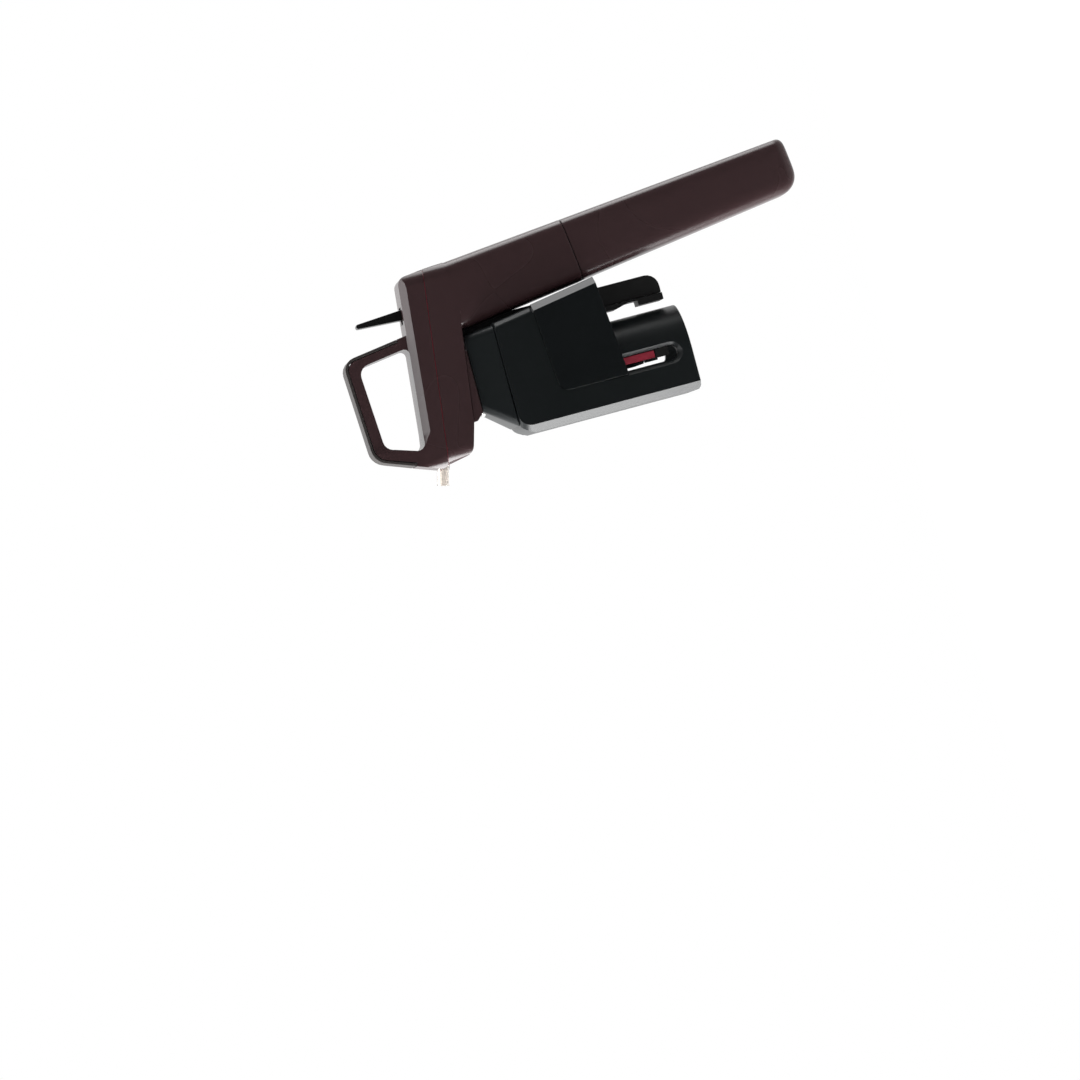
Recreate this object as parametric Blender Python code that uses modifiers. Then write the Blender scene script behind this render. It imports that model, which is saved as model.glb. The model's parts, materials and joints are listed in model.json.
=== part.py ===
"""A wine preservation dispenser that stands on the neck of a bottle.

The origin is on the needle's axis, in the plane of the clamp's mouth. +Z runs up along the needle,
+X points to the capsule handle and -X to the spout. The left side is +Y. Sizes are in metres.
"""

import math

import bmesh
import bpy
from mathutils import Matrix, Vector

# Clearances and finish that every piece shares
SEAT_GAP = 0.0003
CUT_OVERRUN = 0.0010
FULL_TURN = 2 * math.pi

# Bottle neck that the clamp takes
NECK_RADIUS = 0.0148
NECK_CLEARANCE = 0.0020
LIP_DEPTH = 0.0750

# Clamp sleeve
SLEEVE_ROOF = 0.0100
SLEEVE_FRONT_WALL = 0.0018
SLEEVE_SIDE_WALL = 0.0047
SLEEVE_BACK_WALL = 0.0052
SLEEVE_FRONT_EDGE = 0.0035
SLEEVE_TOP_CORNER = 0.0065
SLEEVE_MOUTH_CORNER = 0.0012
HOUSING_DEPTH = 0.0174
HOUSING_LEAN = math.radians(9.5)
HOUSING_BACK_EDGE = 0.0030

# Badge plates and the line that they end on
PLATE_FRONT = -0.0040
PLATE_LOW_FRONT = 0.0310
PLATE_LOW_SLOPE = math.radians(5.3)
PLATE_TOP_FRONT = 0.0630
PLATE_TOP_SLOPE = math.radians(4.3)
PLATE_CORNER = 0.0048
PLATE_THICKNESS = 0.0013
PLATE_PROUD = 0.0005
PLATE_RETURN = 0.0015
PLATE_LOW_CORNER = 0.0008

# Side windows and the jaws in them
WINDOW_CENTRE = 0.0008
WINDOW_WIDTH = 0.0066
WINDOW_RIM = 0.0021
WINDOW_LOW = 0.0065
WINDOW_HIGH = 0.0440
JAW_PIN_HEIGHT = 0.0500
JAW_PIN_RADIUS = 0.0006
JAW_PIN_GAP = 0.00015
JAW_PIN_INSET = 0.0011
JAW_PIN_LENGTH = 0.0100
JAW_CENTRE = 0.0020
JAW_WIDTH = 0.0033
JAW_THICKNESS = 0.0020
JAW_LOW = 0.0170
JAW_TAIL = 0.0040
JAW_SIDE_ROOM = 0.0005
PAD_LOW = 0.0104
PAD_WIDTH = 0.0040
PAD_SQUEEZE = 0.0005
LEAF_THICKNESS = 0.0003
LEAF_LOW = 0.0400
LEAF_HIGH = 0.0590
LEAF_WIDTH = 0.0026

# Guide rail with its front strip and end hook
RAIL_PROUD = 0.0041
RAIL_WEB_DEPTH = 0.0093
RAIL_WEB_WIDTH = 0.0080
RAIL_TIP = 0.0043
RAIL_TIP_CORNER = 0.0060
STRIP_DEPTH = 0.0025
STRIP_WIDTH = 0.0130
HOOK_PROUD = 0.0009
HOOK_HIGH = 0.0162
NOTCH_DEPTH = 0.0015
NOTCH_HIGH = 0.0208
NOTCH_RAMP_HIGH = 0.0265
STOP_PIN_RADIUS = 0.0015
STOP_PIN_LENGTH = 0.0160
STOP_PIN_MARGIN = 0.0003
STOP_PIN_DROP = 0.0090
RAIL_SCREW_DROPS = (0.0186, 0.0071)

# Screws
SCREW_HEAD_RADIUS = 0.0022
SCREW_HEAD_HEIGHT = 0.0016
SCREW_SHANK_RADIUS = 0.0012
SCREW_DOME_SHARE = 0.8
RAIL_SCREW_LENGTH = 0.0100
BLOCK_SCREW_LENGTH = 0.0120
BLOCK_SCREW_PLACE = (-0.0020, 0.0105)
CAP_SCREW_BITE = 0.0037
CAP_SCREW_ROWS = (-0.0060, 0.0240)
CAP_SCREW_SIDE = 0.0111

# Tapered neck block between the sleeve and the head
BLOCK_HEIGHT = 0.0133
BLOCK_FRONT_STEP = 0.0046
BLOCK_SIDE_STEP = 0.0012
BLOCK_BACK_STEP = 0.0007
BLOCK_TOP_FRONT = -0.0036
BLOCK_BACK_LEAN = 0.0010
BLOCK_TOP_HALF = 0.0140
BLOCK_EDGE = 0.0040

# Needle, its guide and the lip pad
NEEDLE_TIP = 0.0200
NEEDLE_RADIUS = 0.0010
NEEDLE_BORE = 0.0005
NEEDLE_POINT = 0.0045
POINT_SHARE = 1.2
GUIDE_RADIUS = 0.0035
GUIDE_FLANGE_RADIUS = 0.0052
GUIDE_FLANGE_HEIGHT = 0.0016
PAD_RING_INSET = 0.0016
PAD_RING_HEIGHT = 0.0024

# Head: body, flange and the seam that it shares with the cap
HEAD_HALF = 0.0150
HEAD_CORNER = 0.0070
HEAD_DEPTH = 0.01275
SEAM_SLOPE = math.radians(7.2)
SEAM_FRONT = -0.0227
SEAM_OVERHANG = 0.0081
HEAD_FLOOR_SLOPE = math.radians(7.6)
HEAD_FLOOR_START = -0.0077
NOSE_PLACE = -0.0203
NOSE_RISE = 0.0036
NOSE_ROUND = 0.0050
FLANGE_FRONT = -0.0069
FLANGE_FOOT_FRONT = -0.0036
FLANGE_HEIGHT = 0.0054
FLANGE_SPACE = 0.0010
FLANGE_HALF = 0.0134
FLANGE_CORNER = 0.0012

# Cap and finger loop
CAP_DEPTH = 0.00977
CAP_TOP_SLOPE = math.radians(5.5)
CAP_TOP_FRONT_PLACE = -0.0101
CAP_BACK_CORNER = 0.0040
CAP_BACK_LEAN = 0.0016
CAP_CHAMFER = 0.0032
CAP_WALL = 0.0030
CAP_CAVITY_HALF = 0.0083
CAP_FRONT_WALL = 0.0102
CAP_BACK_WALL = 0.0071
CHAMFER_START = -0.0055
CHAMFER_END = -0.0120
LOOP_TOP_HALF = 0.0100
LOOP_RISE = 0.0265
LOOP_TRIGGER_SPACE = 0.0101
LOOP_BACK_LEAN = 0.0045
LOOP_BACK_CORNER = 0.0060
LOOP_TOP_FRONT = -0.0130
LOOP_FRONT_DROP = 0.0024
LOOP_FRONT_CORNER = 0.0080
LOOP_LIP_PLACE = -0.0240
LOOP_LIP_RISE = 0.0023
LOOP_POST = 0.0054
LOOP_BEAM = 0.0064
FINGER_FRONT = -0.0099
FINGER_CORNER = 0.0050
RIM_FOOT = 0.0050
RIM_THICKNESS = 0.0013

# Trigger and its pin
TRIGGER_INSET = 0.0171
TRIGGER_RISE = 0.00564
TRIGGER_TIP_LEAN = 0.0004
TRIGGER_REACH = 0.0273
TRIGGER_ROOT_WIDTH = 0.0054
TRIGGER_TIP_WIDTH = 0.0020
TRIGGER_HALF = 0.0040
TRIGGER_NOSE_ARM = 0.0045
TRIGGER_NOSE_RADIUS = 0.0016
TRIGGER_PIN_RADIUS = 0.0011
TRIGGER_PIN_BITE = 0.0030
TRIGGER_RUN_GAP = 0.0002
TRIGGER_SLOT_MARGIN = 0.0006
TRIGGER_THROW = math.radians(12)

# Valve under the trigger
VALVE_RADIUS = 0.0045
VALVE_HEIGHT = 0.0150
VALVE_WALL = 0.0012
VALVE_FLOOR = 0.0014
STEM_RADIUS = 0.0014
STEM_SHOW = 0.0041
STEM_COLLAR_RADIUS = 0.0029
STEM_COLLAR_HEIGHT = 0.0014
STEM_COLLAR_RISE = 0.0095
GLAND_HEIGHT = 0.0024
VALVE_SPRING_WIRE = 0.0004
VALVE_SPRING_CURLS = 5

# Spout and the hub that joins it to the needle
SPOUT_RADIUS = 0.0029
SPOUT_BORE = 0.0019
SPOUT_RISE = math.radians(14.7)
SPOUT_DROP = 0.00145
SPOUT_TIP = -0.0311
HUB_RADIUS = 0.0050
HUB_CROWN = 0.0034
HUB_HEIGHT = 0.0115
HUB_SEAL_HEIGHT = 0.0016
HUB_PORT = 0.0013
SPOUT_START = 0.0059
SPOUT_SEAL_PLACE = 0.0175
SPOUT_SEAL_HEIGHT = 0.0020
SPOUT_SEAL_RADIUS = 0.0042
GAS_TUBE_RADIUS = 0.0010
GAS_TUBE_RISE = 0.0020
TUBE_ROOM = 0.0003

# Handle: the arm of the head and the capsule cup share one tapered section about a leaning axis
HANDLE_SPACE = 0.00173
ARM_DROP = 0.07675
HANDLE_LEAN = math.radians(7.0)
HANDLE_HALF = 0.0147
HANDLE_HALF_DEPTH = 0.0140
HANDLE_TAPER = 0.0207
HANDLE_DEPTH_TAPER = 0.0150
HANDLE_SQUARENESS = 2.6
ARM_SINK = 0.01521
CUP_UNDER_ROUND = 0.0090
CUP_UNDER_SHARE = 0.9
CUP_BACK_ROUND = 0.0030
CUP_SIDE_ROUND = 0.0050
CUP_FLOOR = 0.0060
CUP_BORE = 0.0106

# Regulator in the arm and the thread that takes the cup
SPIGOT_RADIUS = 0.0101
SPIGOT_LENGTH = 0.0200
REGULATOR_HEIGHT = 0.0260
THREAD_PITCH = 0.0030
THREAD_RADIUS = 0.0008
THREAD_ROOM = 0.00035
THREAD_TURNS = 3
THREAD_START = 0.0130
THREAD_POINTS = 20
PISTON_RADIUS = 0.0062
PISTON_HEIGHT = 0.0040
PISTON_ROD = 0.0018
PISTON_ROD_LENGTH = 0.0050
PISTON_FOOT = 0.0030
REGULATOR_SPRING_WIRE = 0.0005
REGULATOR_SPRING_CURLS = 5
PLUG_HEIGHT = 0.0050
PORT_RADIUS = 0.0012
SUPPLY_BEND = 0.0460

# Gas capsule, its seal, the piercing pin and the cushion
CAPSULE_RADIUS = 0.0094
CAPSULE_LENGTH = 0.0840
CAPSULE_SOCKET = 0.0036
CAPSULE_NECK_RADIUS = 0.0043
CAPSULE_NECK_LENGTH = 0.0090
CAPSULE_SHOULDER = 0.0110
CAPSULE_WALL = 0.0016
CAPSULE_PUNCTURE = 0.0011
PIERCE_RADIUS = 0.0009
PIERCE_BORE = 0.0004
PIERCE_LENGTH = 0.0100
PIERCE_REACH = 0.0022
CAPSULE_SEAL_HEIGHT = 0.0016
CUSHION_HEIGHT = 0.0030

# Vent plugs on the back of the arm
VENT_HEIGHT = 0.0410
VENT_SIDE = 0.0050
VENT_RADIUS = 0.0013
VENT_DEPTH = 0.0040

# Lengths that follow from the ones above
BORE_RADIUS = NECK_RADIUS + NECK_CLEARANCE
SLEEVE_FRONT = -(BORE_RADIUS + SLEEVE_FRONT_WALL)
SLEEVE_HALF = BORE_RADIUS + SLEEVE_SIDE_WALL
SLEEVE_HEIGHT = LIP_DEPTH + SLEEVE_ROOF
JAW_PIN_SIDE = BORE_RADIUS + JAW_PIN_INSET
PAD_RING_RADIUS = BORE_RADIUS - PAD_RING_INSET
HOUSING_TOP_BACK = BORE_RADIUS + HOUSING_DEPTH
RAIL_BACK = HOUSING_TOP_BACK + RAIL_PROUD
RAIL_PARTING = RAIL_BACK - RAIL_WEB_DEPTH
STRIP_FRONT = RAIL_PARTING - STRIP_DEPTH
HOOK_FRONT = STRIP_FRONT - HOOK_PROUD
NOTCH_FLOOR = STRIP_FRONT + NOTCH_DEPTH
STROKE = SLEEVE_HEIGHT - STOP_PIN_DROP - STOP_PIN_RADIUS - STOP_PIN_MARGIN - HOOK_HIGH
BLOCK_FOOT = SLEEVE_HEIGHT + SEAT_GAP
BLOCK_TOP = BLOCK_FOOT + BLOCK_HEIGHT
BLOCK_LOW_FRONT = SLEEVE_FRONT + BLOCK_FRONT_STEP
BLOCK_LOW_HALF = SLEEVE_HALF - BLOCK_SIDE_STEP
BLOCK_LOW_BACK = HOUSING_TOP_BACK - BLOCK_BACK_STEP
BLOCK_TOP_BACK = BLOCK_LOW_BACK - BLOCK_BACK_LEAN
RAIL_TOP = BLOCK_TOP

# The head stands on the neck block, and each piece of it on the one below
FLANGE_FOOT = BLOCK_TOP + SEAT_GAP
FLANGE_BACK = STRIP_FRONT - FLANGE_SPACE
HEAD_FLOOR_FRONT = FLANGE_FOOT + FLANGE_HEIGHT
NOSE_CORNER = (NOSE_PLACE, HEAD_FLOOR_FRONT + NOSE_RISE)
SEAM_HEIGHT = HEAD_FLOOR_FRONT + HEAD_DEPTH
ARM_FOOT = SEAM_HEIGHT - ARM_DROP
ARM_LENGTH = (ARM_DROP - ARM_SINK) / math.cos(HANDLE_LEAN)
HOUSING_AT_SEAM = HOUSING_TOP_BACK + (SLEEVE_HEIGHT - ARM_FOOT) * math.tan(HOUSING_LEAN)
HANDLE_SEAM = (HOUSING_AT_SEAM + HANDLE_SPACE + HANDLE_HALF * math.cos(HANDLE_LEAN), ARM_FOOT)
SEAM_BACK = HANDLE_SEAM[0] + SEAM_OVERHANG
CAP_TOP_FRONT = SEAM_HEIGHT - CAP_TOP_FRONT_PLACE * math.tan(SEAM_SLOPE) + CAP_DEPTH
CAP_CAVITY_FRONT = SEAM_FRONT + CAP_FRONT_WALL
CAP_CAVITY_BACK = SEAM_BACK - CAP_BACK_WALL
TRIGGER_PLACE = SEAM_BACK - TRIGGER_INSET
TRIGGER_PIVOT = (TRIGGER_PLACE, SEAM_HEIGHT - TRIGGER_PLACE * math.tan(SEAM_SLOPE) + TRIGGER_RISE)
LOOP_HEIGHT = CAP_TOP_FRONT + LOOP_RISE
LOOP_FRONT_HEIGHT = LOOP_HEIGHT - LOOP_FRONT_DROP
LOOP_ROOT_BACK = TRIGGER_PLACE - LOOP_TRIGGER_SPACE
LOOP_TOP_BACK = LOOP_ROOT_BACK - LOOP_BACK_LEAN
LOOP_LIP = (LOOP_LIP_PLACE, SEAM_HEIGHT - LOOP_LIP_PLACE * math.tan(SEAM_SLOPE) + LOOP_LIP_RISE)
STEM_TOP = TRIGGER_PIVOT[1] - TRIGGER_NOSE_RADIUS - SEAT_GAP
VALVE_FOOT = STEM_TOP - STEM_SHOW - VALVE_HEIGHT
STEM_COLLAR_FOOT = VALVE_FOOT + STEM_COLLAR_RISE
SPOUT_HEIGHT = SEAM_HEIGHT - SPOUT_DROP
HUB_TOP = SPOUT_HEIGHT + HUB_CROWN
HUB_FOOT = HUB_TOP - HUB_HEIGHT
NEEDLE_TOP = HUB_TOP - SPOUT_RADIUS
GAS_TUBE_HEIGHT = HUB_FOOT + GAS_TUBE_RISE

# The capsule's neck sits in the spigot, and the cup is as deep as its capsule asks
CAPSULE_TOP = CAPSULE_SOCKET - SPIGOT_LENGTH
CUP_LENGTH = CUP_FLOOR + CUSHION_HEIGHT + CAPSULE_LENGTH + 2 * SEAT_GAP - CAPSULE_TOP

collection = None
cutter_collection = None


def clear_scene():
    for thing in list(bpy.data.objects):
        bpy.data.objects.remove(thing)


def make_material(name, colour, roughness, metallic=0.0):
    """A Principled material in the part's own colour."""
    material = bpy.data.materials.new(name)
    material.use_nodes = True
    shader = material.node_tree.nodes["Principled BSDF"]
    shader.inputs["Base Color"].default_value = (*colour, 1.0)
    shader.inputs["Roughness"].default_value = roughness
    shader.inputs["Metallic"].default_value = metallic
    material.diffuse_color = (*colour, 1.0)
    return material


def add_object(name, mesh, material=None, parent=None):
    """A new object in the dispenser's collection, or among the cutters if it has no material."""
    made = bpy.data.objects.new(name, mesh)
    if material is None:
        cutter_collection.objects.link(made)
        made.hide_render = True
        made.display_type = "WIRE"
    else:
        collection.objects.link(made)
        mesh.materials.clear()
        mesh.materials.append(material)
        mesh.shade_smooth()
        mesh.set_sharp_from_angle(angle=math.radians(32))
    made.parent = parent
    return made


def mesh_from(builder, name):
    """A mesh out of a bmesh, with its doubles welded and its faces pointing out."""
    bmesh.ops.remove_doubles(builder, verts=builder.verts, dist=SEAT_GAP / 300)
    bmesh.ops.recalc_face_normals(builder, faces=builder.faces)
    mesh = bpy.data.meshes.new(name)
    builder.to_mesh(mesh)
    builder.free()
    return mesh


def mesh_of_curve(curve, name):
    """The closed mesh of a curve with filled caps."""
    holder = bpy.data.objects.new(name, curve)
    bpy.context.scene.collection.objects.link(holder)
    evaluated = holder.evaluated_get(bpy.context.evaluated_depsgraph_get())
    mesh = bpy.data.meshes.new_from_object(evaluated)
    bpy.data.objects.remove(holder)
    builder = bmesh.new()
    builder.from_mesh(mesh)
    return mesh_from(builder, name)


def plate(name, outline, low, high, facing="Y"):
    """A flat outline given thickness from low to high, along Y (outline in x, z), Z or X."""
    curve = bpy.data.curves.new(name, "CURVE")
    curve.dimensions = "2D"
    curve.fill_mode = "BOTH"
    curve.extrude = (high - low) / 2
    spline = curve.splines.new("POLY")
    spline.points.add(len(outline) - 1)
    for point, (across, up) in zip(spline.points, outline):
        point.co = (across, up, 0, 1)
    spline.use_cyclic_u = True
    mesh = mesh_of_curve(curve, name)
    middle = (high + low) / 2
    if facing == "Y":
        mesh.transform(Matrix.Translation((0, middle, 0)) @ Matrix.Rotation(math.pi / 2, 4, "X"))
    elif facing == "X":
        turn = Matrix.Rotation(math.pi / 2, 4, "Z") @ Matrix.Rotation(math.pi / 2, 4, "X")
        mesh.transform(Matrix.Translation((middle, 0, 0)) @ turn)
    else:
        mesh.transform(Matrix.Translation((0, 0, middle)))
    return mesh


def box(name, low, high):
    """A box between two corners."""
    builder = bmesh.new()
    bmesh.ops.create_cube(builder, size=1)
    size = Vector(high) - Vector(low)
    centre = (Vector(high) + Vector(low)) / 2
    bmesh.ops.transform(
        builder, matrix=Matrix.Translation(centre) @ Matrix.Diagonal((*size, 1)), verts=builder.verts
    )
    return mesh_from(builder, name)


def rod(name, radius, low, high, sides=24):
    """A plain cylinder on the Z axis."""
    builder = bmesh.new()
    bmesh.ops.create_cone(
        builder, cap_ends=True, segments=sides, radius1=radius, radius2=radius, depth=high - low
    )
    middle = Matrix.Translation((0, 0, (low + high) / 2))
    bmesh.ops.transform(builder, matrix=middle, verts=builder.verts)
    return mesh_from(builder, name)


def turned(name, profile, sides=24):
    """A solid of revolution about Z. The profile runs down its outer side; a bored one is a closed ring."""
    builder = bmesh.new()
    points = [builder.verts.new((radius, 0, height)) for radius, height in profile]
    for first, second in zip(points, points[1:]):
        builder.edges.new((first, second))
    if profile[0][0] > 0:
        builder.edges.new((points[-1], points[0]))
    mesh = bpy.data.meshes.new(name)
    builder.to_mesh(mesh)
    builder.free()
    holder = bpy.data.objects.new(name, mesh)
    bpy.context.scene.collection.objects.link(holder)
    screw = holder.modifiers.new("turn", "SCREW")
    screw.steps = sides
    screw.render_steps = sides
    screw.use_merge_vertices = True
    screw.merge_threshold = SEAT_GAP / 30
    evaluated = holder.evaluated_get(bpy.context.evaluated_depsgraph_get())
    result = bpy.data.meshes.new_from_object(evaluated)
    bpy.data.objects.remove(holder)
    builder = bmesh.new()
    builder.from_mesh(result)
    return mesh_from(builder, name)


def tube(name, path, radius):
    """A round bar along a path of points, with flat ends."""
    curve = bpy.data.curves.new(name, "CURVE")
    curve.dimensions = "3D"
    curve.bevel_depth = radius
    curve.bevel_resolution = 1
    curve.use_fill_caps = True
    spline = curve.splines.new("POLY")
    spline.points.add(len(path) - 1)
    for point, place in zip(spline.points, path):
        point.co = (*place, 1)
    return mesh_of_curve(curve, name)


def loft(name, rings):
    """A closed solid over a stack of unlike sections that have the same number of points."""
    builder = bmesh.new()
    rows = [[builder.verts.new(point) for point in ring] for ring in rings]
    for lower, upper in zip(rows, rows[1:]):
        for index in range(len(lower)):
            after = (index + 1) % len(lower)
            builder.faces.new((lower[index], lower[after], upper[after], upper[index]))
    builder.faces.new(reversed(rows[0]))
    builder.faces.new(rows[-1])
    return mesh_from(builder, name)


def rounded(corners, steps=5):
    """An outline whose corners (x, y, radius) are rounded by arcs."""
    outline = []
    for index, (across, up, radius) in enumerate(corners):
        here = Vector((across, up))
        if radius == 0:
            outline.append(tuple(here))
            continue
        before = Vector(corners[index - 1][:2]) - here
        after = Vector(corners[(index + 1) % len(corners)][:2]) - here
        half = before.angle(after) / 2
        middle = here + (before.normalized() + after.normalized()).normalized() * radius / math.sin(half)
        start = here + before.normalized() * radius / math.tan(half) - middle
        turn = start.angle_signed(here + after.normalized() * radius / math.tan(half) - middle)
        for step in range(steps + 1):
            angle = -turn * step / steps
            swung = Matrix.Rotation(angle, 2) @ start
            outline.append(tuple(middle + swung))
    return outline


def cut(target, tool, operation="DIFFERENCE"):
    """A Boolean of an object with one of the cutters."""
    modifier = target.modifiers.new(tool.name, "BOOLEAN")
    modifier.operation = operation
    modifier.object = tool
    modifier.solver = "EXACT"


def cutter(name, mesh, *targets, operation="DIFFERENCE", parent=None, location=(0, 0, 0), turn=None):
    """A cutter that works on one or more objects."""
    tool = add_object("cut_" + name, mesh, parent=parent)
    tool.location = location
    if turn is not None:
        tool.rotation_euler = turn
    for target in targets:
        cut(target, tool, operation)
    return tool


def pivot(name, location=(0, 0, 0), turn=(0, 0, 0), parent=None):
    """An empty on a joint's axis."""
    made = bpy.data.objects.new(name, None)
    collection.objects.link(made)
    made.location = location
    made.rotation_euler = turn
    made.parent = parent
    return made


def coil(radius, low, high, curls, points=8):
    """Points of a spring along Z."""
    count = curls * points
    path = []
    for index in range(count + 1):
        angle = FULL_TURN * index / points
        height = low + (high - low) * index / count
        path.append((radius * math.cos(angle), radius * math.sin(angle), height))
    return path


def screw_mesh(name, length):
    """A button-head screw that points down, with its head's seat at the origin."""
    socket = SCREW_HEAD_RADIUS / 2
    return turned(
        name,
        [
            (0, SCREW_HEAD_HEIGHT / 2),
            (socket, SCREW_HEAD_HEIGHT / 2),
            (socket, SCREW_HEAD_HEIGHT),
            (SCREW_HEAD_RADIUS * SCREW_DOME_SHARE, SCREW_HEAD_HEIGHT),
            (SCREW_HEAD_RADIUS, SCREW_HEAD_HEIGHT / 2),
            (SCREW_HEAD_RADIUS, 0),
            (SCREW_SHANK_RADIUS, 0),
            (SCREW_SHANK_RADIUS, -length + SCREW_SHANK_RADIUS),
            (0, -length),
        ],
        sides=12,
    )


def seam_height(across):
    """Height of the seam between the head's body and its cap."""
    return SEAM_HEIGHT - across * math.tan(SEAM_SLOPE)


def cap_top(across):
    return CAP_TOP_FRONT - (across - CAP_TOP_FRONT_PLACE) * math.tan(CAP_TOP_SLOPE)


def head_floor(across):
    return HEAD_FLOOR_FRONT - (across - HEAD_FLOOR_START) * math.tan(HEAD_FLOOR_SLOPE)


def housing_back(height):
    return HOUSING_TOP_BACK + (SLEEVE_HEIGHT - height) * math.tan(HOUSING_LEAN)


def plate_low(across):
    return PLATE_LOW_FRONT + (across - PLATE_FRONT) * math.tan(PLATE_LOW_SLOPE)


def plate_top(across):
    return PLATE_TOP_FRONT + (across - PLATE_FRONT) * math.tan(PLATE_TOP_SLOPE)


def handle_half(along):
    return HANDLE_HALF + along * HANDLE_TAPER


def handle_half_depth(along):
    return HANDLE_HALF_DEPTH + along * HANDLE_DEPTH_TAPER


def handle_ring(along, under, back, half_depth, points=32):
    """The handle's section, a squared-off ellipse between its under side and its back."""
    ring = []
    power = 2 / HANDLE_SQUARENESS
    for index in range(points):
        angle = FULL_TURN * index / points
        cosine = math.copysign(abs(math.cos(angle)) ** power, math.cos(angle))
        sine = math.copysign(abs(math.sin(angle)) ** power, math.sin(angle))
        ring.append(((under + back) / 2 + cosine * (back - under) / 2, sine * half_depth, along))
    return ring


def stadium(half_width, low, high, depth, steps=6):
    """A long slot's outline in x and z at a depth y, with round ends."""
    ring = []
    for centre, start in ((high - half_width, 0), (low + half_width, math.pi)):
        for step in range(steps + 1):
            angle = start + math.pi * step / steps
            across = WINDOW_CENTRE + half_width * math.cos(angle)
            ring.append((across, depth, centre + half_width * math.sin(angle)))
    return ring


def housing_skin(height, offset, side, front, wrap_end):
    """Points of the housing's flank and back at a height, pushed out by an offset."""
    chamfer = HOUSING_BACK_EDGE + offset * (2 - math.sqrt(2))
    flank = SLEEVE_HALF + offset
    back = housing_back(height) + offset
    return [
        (front, side * flank, height),
        (back - chamfer, side * flank, height),
        (back, side * (flank - chamfer), height),
        (back, side * wrap_end, height),
    ]


def plate_body(name, side, outward, inward, grow):
    """The wrapped plate between two offsets from the housing, cut to its outline in side view."""
    wrap_end = SLEEVE_HALF - HOUSING_BACK_EDGE - PLATE_RETURN - grow
    front = PLATE_FRONT - grow
    rings = []
    for height in (PLATE_LOW_FRONT - PLATE_CORNER, SLEEVE_HEIGHT):
        outer = housing_skin(height, outward, side, front - CUT_OVERRUN, wrap_end)
        inner = housing_skin(height, inward, side, front - CUT_OVERRUN, wrap_end)
        rings.append(outer + inner[::-1])
    far = housing_back(0) + CUT_OVERRUN
    lift = grow / math.cos(PLATE_LOW_SLOPE)
    outline = rounded(
        [
            (front, plate_low(front) - lift, PLATE_LOW_CORNER),
            (far, plate_low(far) - lift, 0),
            (far, plate_top(far) + lift, 0),
            (front, plate_top(front) + lift, PLATE_CORNER + grow),
        ]
    )
    low, high = sorted((0, side * (SLEEVE_HALF + 2 * CUT_OVERRUN)))
    return loft(name, rings), plate(name + "_outline", outline, low, high)


def rail_slot(name, *targets):
    """The T-shaped slot that the rail, its strip and its hook run in."""
    web_half = RAIL_WEB_WIDTH / 2 + SEAT_GAP
    strip_half = STRIP_WIDTH / 2 + SEAT_GAP
    low = PLATE_LOW_FRONT - CUT_OVERRUN
    high = BLOCK_TOP + CUT_OVERRUN
    stop = HOOK_HIGH + STROKE + SEAT_GAP + STOP_PIN_RADIUS
    far = housing_back(0) + CUT_OVERRUN
    shapes = {
        "web": ((STRIP_FRONT, -web_half, low), (far, web_half, high)),
        "strip": ((STRIP_FRONT - SEAT_GAP, -strip_half, low), (RAIL_PARTING + SEAT_GAP, strip_half, high)),
        "hook": ((HOOK_FRONT - SEAT_GAP, -strip_half, low), (RAIL_PARTING, strip_half, stop)),
    }
    for part_name, (near, away) in shapes.items():
        cutter(name + "_" + part_name, box(part_name, near, away), *targets)


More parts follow.
